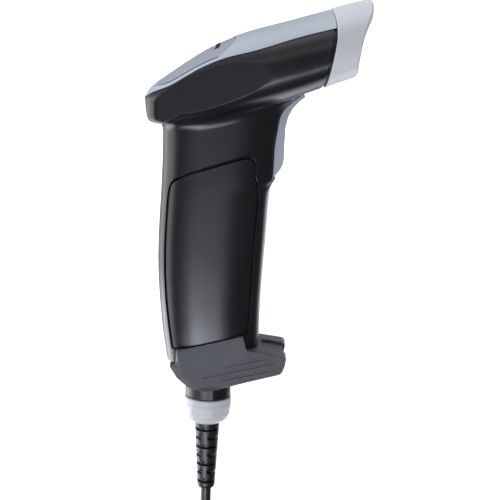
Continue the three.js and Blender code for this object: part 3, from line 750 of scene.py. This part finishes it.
def bar(name, radius, length, centre):
    """Round bar along y."""
    x, y, z = centre
    turn = np.linspace(0, 2 * math.pi, 48, endpoint=False)
    across, up = x + radius * np.cos(turn), z + radius * np.sin(turn)
    ends = (y - length / 2, y + length / 2)
    return skinned(name, [np.stack([across, np.full_like(turn, end), up], 1) for end in ends])


SEAM_REBATE = 1.3  # width of the dark groove behind the nose bumper
SEAM_DEPTH = 0.9


def body_form(skin):
    """The housing as one hollow piece, cut for everything that is let into it."""
    body = copy_of(skin, "body")
    inner = cut_cheeks(head_loft("inner", WALL), WALL)
    boolean(inner, grip_loft("inner_grip", WALL + PANEL_SINK + PANEL_DEPTH), "UNION")
    for x, z in HOUSING_SCREWS:
        boolean(inner, bar("boss", BOSS_RADIUS, 44, (x, 0, z)))
    boolean(body, inner)
    boolean(body, above_cover_line("cover_cut", -GAP))
    boolean(body, ahead_of_seam("seam_cut", -GAP))
    rebate = ahead_of_seam("rebate", -SEAM_REBATE)
    boolean(body, boolean(rebate, head_loft("rebate_floor", SEAM_DEPTH)))
    boolean(body, panel_pockets())
    boolean(body, prism("boot_cut", BOOT_REGION, "y", -40, 40))
    boolean(body, prism("trigger_cut", round_corners(TRIGGER_OPENING, 1.2), "y", -TRIGGER_HALF - GAP,
                        TRIGGER_HALF + GAP))
    x, z = TRIGGER_PIVOT
    boolean(body, bar("pin_cut", PIN_RADIUS + GAP, 2 * TRIGGER_HALF + 7, (x, 0, z)))
    for x, z in HOUSING_SCREWS:
        boolean(body, bar("shank_cut", SCREW_RADIUS + GAP, 23, (x, -2, z)))
        boolean(body, bar("head_cut", SCREW_HEAD_RADIUS + GAP, 6, (x, -13.1, z)))
    return body


def shell_half(body, side):
    half = copy_of(body, "shell_left" if side > 0 else "shell_right")
    low, high = (GAP / 2, 60) if side > 0 else (-60, -GAP / 2)
    boolean(half, prism("half", [(-60, -80), (90, -80), (90, 130), (-60, 130)], "y", low, high), "INTERSECT")
    return smooth_normals(half, housing, *CHEEKS)


COVER_WALL = 3.4
LENS_FRONT = 4.2
LENS_HALF_WIDTH = 10
LENS_THICKNESS = 1.4
LENS_BOW = 62
PLATE_HALF_WIDTH = 22.9
PLATE_FRONT = (10.4, 2.6)
PLATE_REAR = (24.3, 2.2)
PLATE_RIM = 0.9
PLATE_THICKNESS = 1.2
PLATE_SINK = 0.3


def plate_outline(inset):
    line = []
    for turn in TURN:
        length, roundness = PLATE_FRONT if math.cos(turn) > 0 else PLATE_REAR
        along, across = round_square(np.array([turn]), roundness)
        line.append(((length - inset) * along[0], (PLATE_HALF_WIDTH - inset) * across[0]))
    return line


def lens_block(name, margin):
    centre = LENS_FRONT - LENS_BOW
    half = math.asin(LENS_HALF_WIDTH / LENS_BOW)
    angles = np.linspace(-half, half, 24)
    front = [(centre + (LENS_BOW + margin) * math.cos(a), (LENS_BOW + margin) * math.sin(a)) for a in angles]
    rear = LENS_BOW - LENS_THICKNESS - margin
    back = [(centre + rear * math.cos(a), rear * math.sin(a)) for a in angles[::-1]]
    return prism(name, front + back, "z", 73, 87)


def top_cover(skin):
    cover = copy_of(skin, "cover")
    boolean(cover, above_cover_line("over", 0), "INTERSECT")
    boolean(cover, cut_cheeks(head_loft("cover_inner", COVER_WALL), COVER_WALL))
    boolean(cover, ahead_of_seam("cover_seam", -GAP))
    pocket = prism("pocket", plate_outline(0), "z", 50, 110)
    boolean(pocket, above_cover_line("rim", PLATE_RIM), "INTERSECT")
    boolean(pocket, head_loft("pocket_floor", PLATE_SINK + PLATE_THICKNESS + GAP))
    boolean(cover, pocket)
    boolean(cover, lens_block("slot", GAP))
    return smooth_normals(cover, housing, *CHEEKS)


def top_plate():
    plate = prism("plate", plate_outline(GAP), "z", 50, 110)
    upper = head_loft("upper", PLATE_SINK)
    boolean(upper, above_cover_line("plate_rim", PLATE_RIM + GAP), "INTERSECT")
    boolean(plate, upper, "INTERSECT")
    boolean(plate, head_loft("lower", PLATE_SINK + PLATE_THICKNESS))
    boolean(plate, lens_block("slot", GAP))
    return smooth_normals(plate, head_field)


def indicator_lens():
    lens = lens_block("lens", 0)
    boolean(lens, head_loft("lens_top", 0.25), "INTERSECT")
    return smooth_normals(lens, head_field)


# ---------- nose bumper, gasket and window ----------
HOOD_WALL = 3.4
BUMPER_PROUD = 0.35
WINDOW_SET = 52.4
WINDOW_THICKNESS = 1.6
HEAD_TILT = math.radians(15.5)
HEAD_ORIGIN = (0, 0, 66)


def x_on_line(line_at, turn, inset):
    """X where the head's surface along each turn meets a line given as x over z."""
    x = np.full(turn.shape, 52.0)
    for _ in range(30):
        x = 0.5 * x + 0.5 * line_at(head_ring(x, inset, turn)[:, 2])
    return x


def lip(u, depth, radius, first, steps=6):
    """Points of a quarter round from the angle first, in degrees, as (along, out) pairs."""
    turns = [math.radians(first - 90 * k / steps) for k in range(steps + 1)]
    return [(u + radius * math.cos(turn), depth + radius * math.sin(turn)) for turn in turns]


def nose_bumper():
    start = x_on_line(seam_at, TURN, -BUMPER_PROUD)
    end = x_on_line(hood_at, TURN, -BUMPER_PROUD)
    rings = []
    # the section runs outside from the seam to the mouth, round the lip and back along the inside
    def ring(base, along, out):
        rings.append(head_ring(base + along, -out))
    out = BUMPER_PROUD
    for along, depth in lip(0.45, out - 0.45, 0.45, 180):
        ring(start, along, depth)
    for share in np.linspace(0.08, 0.9, 12):
        ring(start + (end - start) * share, 0, out)
    for along, depth in lip(-1.0, out - 1.0, 1.0, 90):
        ring(end, along, depth)
    for along, depth in lip(-0.5, -HOOD_WALL + 0.5, 0.5, 0):
        ring(end, along, depth)
    for share in np.linspace(0.85, 0.1, 8):
        ring(start + (end - start) * share, 0, -HOOD_WALL)
    ring(start, 0.25, -HOOD_WALL)
    ring(start, 0, -HOOD_WALL + 0.25)
    return crisp(skinned("bumper", rings, closed_along=True), 50)


def barrel_slab(name, low, high, inset):
    """Slice across the barrel, between two distances along it."""
    slab = prism(name, [(low, -40), (high, -40), (high, 40), (low, 40)], "y", -60, 60)
    slab.data.transform(Matrix.Translation(Vector(HEAD_ORIGIN) * MM) @ Matrix.Rotation(-HEAD_TILT, 4, "Y"))
    return boolean(slab, head_loft("slab_skin", inset), "INTERSECT")


def window_gasket():
    seat = barrel_slab("gasket", WINDOW_SET - 1, WINDOW_SET + WINDOW_THICKNESS + 0.6, HOOD_WALL + GAP)
    boolean(seat, barrel_slab("hole", WINDOW_SET - 5, WINDOW_SET + 8, HOOD_WALL + GAP + 2.2))
    boolean(seat, barrel_slab("rebate", WINDOW_SET - GAP, WINDOW_SET + 8, HOOD_WALL + GAP + 1.2))
    return smooth_normals(seat, head_field)


def scan_window():
    pane = barrel_slab("window", WINDOW_SET, WINDOW_SET + WINDOW_THICKNESS, HOOD_WALL + GAP + 1.5)
    return smooth_normals(pane, head_field)


# ---------- boot ----------
BOOT_HALF_WIDTH = 14.6
BOOT_BEVEL = 2.8
BOOT_SIDE = [(-13.9, -40.8), (13, -34.7), (14.4, -40.6), (29.4, -43.1), (30.6, -44.2), (30, -47.4),
    (28.6, -50.7), (13.2, -54.4), (3, -56.1), (-5, -56.5), (-8.4, -54.2), (-10.8, -51.6), (-12.6, -47.5),
    (-13.3, -45)]
BOOT_MIDDLE = [(-14.2, -40.8), (13, -34.7), (14.4, -40.6), (29.4, -43.1), (30.6, -44.2), (30, -47.4),
    (28.4, -51.2), (13.2, -55.1), (1, -58.6), (-4, -58.9), (-9.6, -57), (-14, -53), (-17.3, -47.4),
    (-14.6, -47.4)]
BOOT_ROUNDING = [0.3, 0.3, 0.8, 0.8, 0.8, 1.5, 2.5, 6, 2, 2, 3, 3, 1, 0.3]
TOE_HALF_CHANNEL = 6.5
TOE_CHANNEL = [(20.5, -30), (20.5, -42.7), (29.2, -44.3), (28.6, -47.6), (27, -54), (45, -54), (45, -30)]
TOE_HALF_STEP = 9.6  # a shallower recess, wider than the channel
TOE_STEP = [(21.5, -30), (21.5, -41.1), (45, -45.1), (45, -30)]
RIB_SLOPE = math.radians(12)
RIB_HEIGHT = 1.1
RIB_RELIEF = 0.3
RIBS = [((5.6, -48.4), 17), ((-3.6, -53), 30), ((4.4, -54.1), 22)]  # (x, z) of the rear end, length
NECK_RADIUS = 9.4
NECK_SPIGOT = 7
NECK_KEY = [(-0.9, -5.8), (2.3, -5.8), (2.3, 2.2), (-0.9, 2.2)]  # (x, z) of the flat rib on the neck


def at_outlet(obj):
    """Moves a piece built about z at the origin to the cable outlet."""
    shift = Matrix.Translation(Vector((OUTLET_X, 0, OUTLET_TOP)) * MM)
    obj.data.transform(shift @ Matrix.Rotation(OUTLET_LEAN, 4, "Y"))
    return obj


def rib(start, length, face):
    """Low plain rib on a side of the boot, in line with the boot's lower edge."""
    rear = np.array(start)
    along = np.array([math.cos(RIB_SLOPE), math.sin(RIB_SLOPE)])
    up = np.array([-along[1], along[0]]) * RIB_HEIGHT / 2
    front = rear + along * length
    corners = [rear - up, front - up, front + up, rear + up]
    line = round_corners(corners, RIB_HEIGHT * 0.49, 4)
    low, high = sorted((face * (BOOT_HALF_WIDTH - 0.5), face * (BOOT_HALF_WIDTH + RIB_RELIEF)))
    return prism("rib", line, "y", low, high)


def foot_boot():
    side = round_corners(BOOT_SIDE, BOOT_ROUNDING, 5)
    middle = round_corners(BOOT_MIDDLE, BOOT_ROUNDING, 5)
    inner = BOOT_HALF_WIDTH - BOOT_BEVEL
    rings = []
    for face in (-1, 1):
        stack = [(inset_outline(side, 0.3), BOOT_HALF_WIDTH),
                 (inset_outline(side, 0.08), BOOT_HALF_WIDTH - 0.08),
                 (side + (middle - side) * 0.1, BOOT_HALF_WIDTH - 0.1 * BOOT_BEVEL), (middle, inner)]
        ordered = stack if face < 0 else stack[::-1]
        for line, level in ordered:
            rings.append(np.stack([line[:, 0], np.full(len(line), face * level), line[:, 1]], 1))
    boot = skinned("boot", rings)
    boolean(boot, prism("channel", TOE_CHANNEL, "y", -TOE_HALF_CHANNEL, TOE_HALF_CHANNEL))
    boolean(boot, prism("step", TOE_STEP, "y", -TOE_HALF_STEP, TOE_HALF_STEP))
    for face in (-1, 1):
        for start, length in RIBS:
            boolean(boot, rib(start, length, face), "UNION")
    boolean(boot, prism("hollow", [(-10, -50.5), (11, -50.5), (11, -20), (-10, -20)], "y", -10, 10))
    for radius, low, high in ((NECK_RADIUS + GAP, -17.2, 2.8), (NECK_SPIGOT + GAP, -6, 14)):
        boolean(boot, at_outlet(lathe("bore", [(0.001, low), (radius, low), (radius, high), (0.001, high)])))
    return crisp(boot, 24)


# ---------- outlet pieces ----------
def dense(profile, step):
    """Profile with points no further apart than step."""
    out = []
    for (r0, z0), (r1, z1) in zip(profile, profile[1:] + profile[:1]):
        parts = max(int(math.hypot(r1 - r0, z1 - z0) / step), 1)
        out += [(r0 + (r1 - r0) * k / parts, z0 + (z1 - z0) * k / parts) for k in range(parts)]
    return out


def neck_sleeve():
    outer = [(5.6, -1.5), (5.6, -6.2), (NECK_RADIUS - 0.4, -6.2), (NECK_RADIUS, -5.8), (NECK_RADIUS, 2.2),
             (NECK_RADIUS - 0.2, 2.4), (NECK_SPIGOT, 2.4), (NECK_SPIGOT, 7.6), (NECK_SPIGOT - 0.4, 8),
             (0.3, 8), (0.3, -1.5)]
    neck = lathe("neck", outer)
    boolean(neck, prism("neck_key", NECK_KEY, "y", -NECK_RADIUS - 0.26, -9), "UNION")
    return crisp(at_outlet(neck), 30)


RING_BEAD = -8.9
DENT_MIDDLE = -11.9
DENT_COUNT = 12


def lock_ring():
    outer = [(5.5, -13.6), (5.5, -17.6), (5.9, -17.6), (6.2, -17.4), (8.0, -16.1), (8.4, -15.6), (9.2, -13.7),
             (9.35, -13), (9.7, -10.4), (9.7, -6.9), (9.4, -6.5), (7.2, -6.5), (7.2, -13.6)]

    def shape(turn, z, radius):
        if radius < 7.6:
            return 0 * turn
        bead = -0.16 * math.exp(-((z - RING_BEAD) / 0.16) ** 2)
        around = np.mod(turn * DENT_COUNT / (2 * math.pi) + 0.5, 1) - 0.5
        width = around * 2 * math.pi * radius / DENT_COUNT
        oval = (width / 2.1) ** 2 + ((z - DENT_MIDDLE) / 2.1) ** 2
        return bead - 0.22 * np.clip(1 - oval, 0, 1)

    return crisp(at_outlet(lathe("ring", dense(outer, 0.22), 288, shape)), 40)


SLOT_PITCH = 7.72
SLOT_HEIGHT = 1.15
SLOT_REACH = math.radians(66)
SLOT_TURN = math.radians(-10.7)
FIRST_SLOT = -20.6
SLOT_ROWS = 7


def strain_relief():
    taper = [(3.1, RELIEF_END), (3.35, RELIEF_END + 0.15), (3.65, RELIEF_END + 1), (5.1, -18.4), (5.1, -13.3),
             (6.8, -13.3), (6.8, -8), (5.2, -8), (5.2, -1.9), (0.3, -1.9), (0.3, RELIEF_END)]

    def shape(turn, z, radius):
        row = round((FIRST_SLOT - z) / SLOT_PITCH * 2)
        if radius < 3.3 or z > -18.2 or not 0 <= row < SLOT_ROWS:
            return 0 * turn
        level = FIRST_SLOT - row * SLOT_PITCH / 2
        across = abs(z - level) / (SLOT_HEIGHT / 2)
        front = row % 2 == 0  # front and back slots in one row, the two side slots in the next
        middle = SLOT_TURN + (math.pi / 2 if front else 0)
        off = np.abs(np.mod(turn - middle + math.pi / 2, math.pi) - math.pi / 2)
        beyond = np.clip((off - SLOT_REACH) * radius / (SLOT_HEIGHT / 2), 0, None)
        notch_off = off if front else off - SLOT_REACH
        notch = np.hypot(notch_off * radius / 0.75, (z - level - 0.55) / 1.0)
        inside = np.clip((1.0 - np.minimum(np.hypot(beyond, across), notch)) * 4, 0, 1)
        return -1.2 * inside

    return crisp(at_outlet(lathe("relief", dense(taper, 0.16), 192, shape)), 46)


# ---------- trigger ----------
TRIGGER_OUTLINE = [(38.4, 61.9), (35.9, 60.3), (32.9, 57.2), (31, 53.6), (30, 49.3), (29.6, 43.3),
    (29.5, 37.6), (29, 34.6), (27.5, 32), (25.4, 29.6), (22.8, 28.6), (22.8, 46), (24.6, 56), (27, 60.2),
    (28.2, 64), (30.5, 65.4), (33.2, 64.4)]

SPRING_ROOM = 4.2  # radius left free round the pin for the spring


def trigger():
    line = even_spacing(round_corners(TRIGGER_OUTLINE, 5, 6), 130)
    lever = soften(prism("lever", line, "y", -TRIGGER_HALF, TRIGGER_HALF), 0.9, 4)
    x, z = TRIGGER_PIVOT
    boolean(lever, bar("bore", PIN_RADIUS + 0.05, 40, (x, 0, z)))
    boolean(lever, bar("spring_room", SPRING_ROOM, 5, (x, 0, z)))
    low, high = z - SPRING_ROOM, z + SPRING_ROOM
    boolean(lever, prism("spring_way", [(10, low), (x, low), (x, high), (10, high)], "y", -2.5, 2.5))
    return crisp(lever, 35)


# ---------- cable, tie and plug ----------
def cable():
    route = cable_route()
    curve = bpy.data.curves.new("lead", "CURVE")
    curve.dimensions = "3D"
    curve.bevel_depth = CABLE_RADIUS * MM
    curve.bevel_resolution = 5
    curve.use_fill_caps = True
    line = curve.splines.new("POLY")
    line.points.add(len(route) - 1)
    for point, place in zip(line.points, route):
        point.co = (place[0] * MM, place[1] * MM, place[2] * MM, 1)
    line.use_smooth = True
    return new_object("lead", curve)


TIE_WIDTH = 6.0
TIE_THICKNESS = 0.45


def hank_tie():
    """Woven strap wrapped round the middle of the hank, with its end lapped over."""
    half = (OUTER_TURN + CABLE_RADIUS + 0.25, (BACK_LAYER - FRONT_LAYER) / 2 + CABLE_RADIUS + 0.2)
    turns = 1.06 * 2 * math.pi * np.linspace(0, 1, 97)
    along, across = round_square(turns, 7)
    lap = np.array([0.55 * ease((turn - 5.9) / 0.5) for turn in turns])
    path = np.stack([HANK_X + along * (half[0] + lap), MIDDLE_LAYER + across * (half[1] + lap)], 1)
    steps = np.gradient(path, axis=0)
    steps /= np.linalg.norm(steps, axis=1)[:, None]
    normals = np.stack([steps[:, 1], -steps[:, 0]], 1)
    half_wide, thick = TIE_WIDTH / 2, TIE_THICKNESS
    lower = [(0, 0.2 - half_wide), (0.12, -half_wide), (thick - 0.12, -half_wide), (thick, 0.2 - half_wide)]
    section = lower + [(out, -up) for out, up in lower[::-1]]
    rings = [[(*(point + normal * out), HANK_MIDDLE + up) for out, up in section]
             for point, normal in zip(path, normals)]
    return crisp(skinned("tie", rings), 40)


PLUG_RIB = 0.25  # depth of the finger ribs on the plug
PLUG_RIB_PITCH = 1.5


def plug_body():
    turn = np.linspace(0, 2 * math.pi, 72, endpoint=False)
    # height below the plug's top, half width, half depth and roundness
    levels = [(0, 3.2, 3.2, 2.0), (-2, 3.4, 3.4, 2.0), (-7, 4.2, 3.7, 2.0), (-8.6, 6.6, 3.9, 3.0),
              (-9.6, 7.6, 4.1, 4.0), (-10.6, 8.0, 4.2, 5.0), (-18, 8.0, 4.2, 5.0), (-31.3, 7.8, 4.1, 5.0),
              (-31.8, 7.6, 3.9, 5.0), (-32, 7.2, 3.5, 5.0)]
    rings = []
    for low, high in zip(levels, levels[1:] + levels[-1:]):
        parts = max(int((low[0] - high[0]) / 0.25), 1)
        for k in range(parts):
            t = k / parts
            z, wide, deep, square = (a + (b - a) * t for a, b in zip(low, high))
            ribbed = -29 < z < -14 and math.sin((z + 14) / PLUG_RIB_PITCH * math.pi) > 0
            along, across = round_square(turn, square)
            rings.append(np.stack([HANK_X + along * wide, across * (deep - PLUG_RIB * ribbed),
                                   np.full(len(turn), PLUG_TOP + z)], 1))
    return crisp(skinned("plug", rings), 35)


def plug_shell():
    top = PLUG_TOP - 32 - GAP
    outer = rounded_box("plug_case", (HANK_X - 6, -2.25, top - 12), (HANK_X + 6, 2.25, top), 0.35)
    mouth = rounded_box("plug_mouth", (HANK_X - 5.7, -1.95, top - 14), (HANK_X + 5.7, 1.95, top - 1), 0.2)
    boolean(outer, mouth)
    for x in (-3.1, 3.1):
        for y in (-2.1, 2.1):
            low, high = (HANK_X + x - 1.2, y - 0.6, top - 6.2), (HANK_X + x + 1.2, y + 0.6, top - 4)
            boolean(outer, rounded_box("latch_hole", low, high, 0.1))
    return crisp(outer, 30)


def rounded_box(name, low, high, radius):
    mesh = bpy.data.meshes.new(name)
    edit = bmesh.new()
    bmesh.ops.create_cube(edit, size=1)
    low, high = Vector(low) * MM, Vector(high) * MM
    for vertex in edit.verts:
        vertex.co = Vector(low[i] + (high[i] - low[i]) * (vertex.co[i] + 0.5) for i in range(3))
    bmesh.ops.bevel(edit, geom=list(edit.edges), offset=radius * MM, segments=3, affect="EDGES", profile=0.5)
    edit.to_mesh(mesh)
    edit.free()
    return new_object(name, mesh)


# ---------- everything together ----------
lead = dress(cable(), CABLE, "cable", "cable_hank", "cable_tail")
tie = dress(hank_tie(), CABLE, "hank_tie")
plug = dress(plug_body(), CABLE, "plug_body")
plug_case = dress(plug_shell(), STEEL, "plug_shell")
skin = solid_form()
body = body_form(skin)
dress(shell_half(body, 1), SHELL, "body_shell_left")
dress(shell_half(body, -1), SHELL, "body_shell_right")
bpy.data.objects.remove(body)
dress(top_cover(skin), COVER, "top_cover")
bpy.data.objects.remove(skin)
dress(top_plate(), PLATE, "top_plate")
dress(indicator_lens(), SMOKE, "indicator_lens")
dress(nose_bumper(), BUMPER, "nose_bumper")
dress(window_gasket(), GASKET, "window_gasket")
dress(scan_window(), WINDOW, "scan_window")
for side, word in ((-1, "right"), (1, "left")):
    panel = side_panel(side)
    panel.name = "panel_" + word
    dress(panel, PANEL, "side_panel_" + word)
dress(foot_boot(), BOOT, "foot_boot")
dress(neck_sleeve(), CABLE, "neck_sleeve")
dress(lock_ring(), RING, "lock_ring", body="lock_ring")
dress(strain_relief(), CABLE, "strain_relief")
dress(trigger(), TRIGGER, "trigger", body="trigger")

slot_of = {part["node"]: part["material_slot"] for part in frame["record"]["subparts"]}
for name, obj in frame["nodes"].items():
    if slot_of[name] in BY_SLOT:
        material = BY_SLOT[slot_of[name]]
        if not obj.material_slots:
            obj.data.materials.append(material)
        for place in obj.material_slots:
            place.material = material

# ---------- floor, world and lights ----------
floor_level = cad_box[0][2] - 0.001
FLOOR_HALF = 15000  # in millimetres
corners = [(x * FLOOR_HALF, y * FLOOR_HALF) for x, y in ((-1, -1), (1, -1), (1, 1), (-1, 1))]
floor = mesh_object("floor", [(x, y, floor_level / MM) for x, y in corners], [(0, 1, 2, 3)], smooth=False)
floor_material = bpy.data.materials.new("floor")
floor_material.use_nodes = True
floor_shader = floor_material.node_tree.nodes["Principled BSDF"]
floor_shader.inputs["Base Color"].default_value = (0.93, 0.93, 0.93, 1)
floor_shader.inputs["Roughness"].default_value = 0.9
floor.data.materials.append(floor_material)

world = bpy.data.worlds.new("studio")
scene.world = world
world.use_nodes = True
sky = world.node_tree.nodes["Background"]
sky.inputs["Color"].default_value = (0.92, 0.96, 1, 1)
heading = world.node_tree.nodes.new("ShaderNodeTexCoord")
split = world.node_tree.nodes.new("ShaderNodeSeparateXYZ")
height = world.node_tree.nodes.new("ShaderNodeMapRange")  # dim at the horizon, brighter overhead
height.inputs["From Min"].default_value = 0.15
height.inputs["To Min"].default_value = 0.06
height.inputs["To Max"].default_value = 0.7
world.node_tree.links.new(heading.outputs["Generated"], split.inputs["Vector"])
world.node_tree.links.new(split.outputs["Z"], height.inputs["Value"])
world.node_tree.links.new(height.outputs["Result"], sky.inputs["Strength"])


def soft_light(name, place, size, brightness, *, aim=(0.01, 0, 0.02), shines=True, mirrored=True):
    """Soft box the camera doesn't see, by its brightness; it may only light, or only be mirrored in gloss."""
    data = bpy.data.lights.new(name, "AREA")
    data.shape = "RECTANGLE"
    data.size, data.size_y = size
    data.energy = brightness * math.pi * size[0] * size[1]
    data.color = (1, 1, 1) if shines else (0.87, 0.91, 1.0)
    lamp = new_object(name, data)
    lamp.location = place
    lamp.rotation_euler = (Vector(aim) - Vector(place)).to_track_quat("-Z", "Y").to_euler()
    lamp.visible_camera = False
    lamp.visible_diffuse = shines
    lamp.visible_glossy = mirrored


floor.visible_glossy = False
soft_light("backdrop_far", (-1.0, 4.6, 2.2), (6.5, 5.5), 2.6, aim=(-1.0, 4.6, 0), mirrored=False)
soft_light("backdrop_near", (-0.4, 1.3, 1.3), (1.8, 1.2), 2.0, aim=(-0.4, 1.3, 0), mirrored=False)
soft_light("overhead", (0.0, 0.1, 0.9), (0.5, 0.4), 1.1)
soft_light("table", (-0.09, -0.6, -0.295), (0.3, 0.11), 14.5, shines=False)
soft_light("table_near", (-0.155, -0.32, -0.28), (0.24, 0.12), 9.5, shines=False)
soft_light("table_left", (-0.45, -0.9, -0.1), (0.45, 0.4), 0.45, shines=False)
soft_light("underneath", (0.05, 0.24, -0.29), (0.5, 0.3), 2.1, shines=False)
soft_light("rear_side", (-0.9, 0.2, 0.0), (1.1, 1.1), 2.4)
soft_light("rear_left", (-0.75, 0.85, 0.0), (0.8, 0.8), 0.8, shines=False)
soft_light("rear_low", (-0.23, 0.12, -0.19), (0.25, 0.2), 4.0, aim=(-0.02, -0.02, 0.02), shines=False)
soft_light("rear_right", (0.55, 1.1, -0.05), (1.1, 0.7), 2.2, shines=False)
soft_light("front", (0.3, -1.6, 0.1), (1.0, 0.8), 2.1, mirrored=False)
soft_light("fill", (-1.0, -1.2, 1.0), (1.2, 1.0), 1.05)
scene.view_settings.view_transform = "Standard"
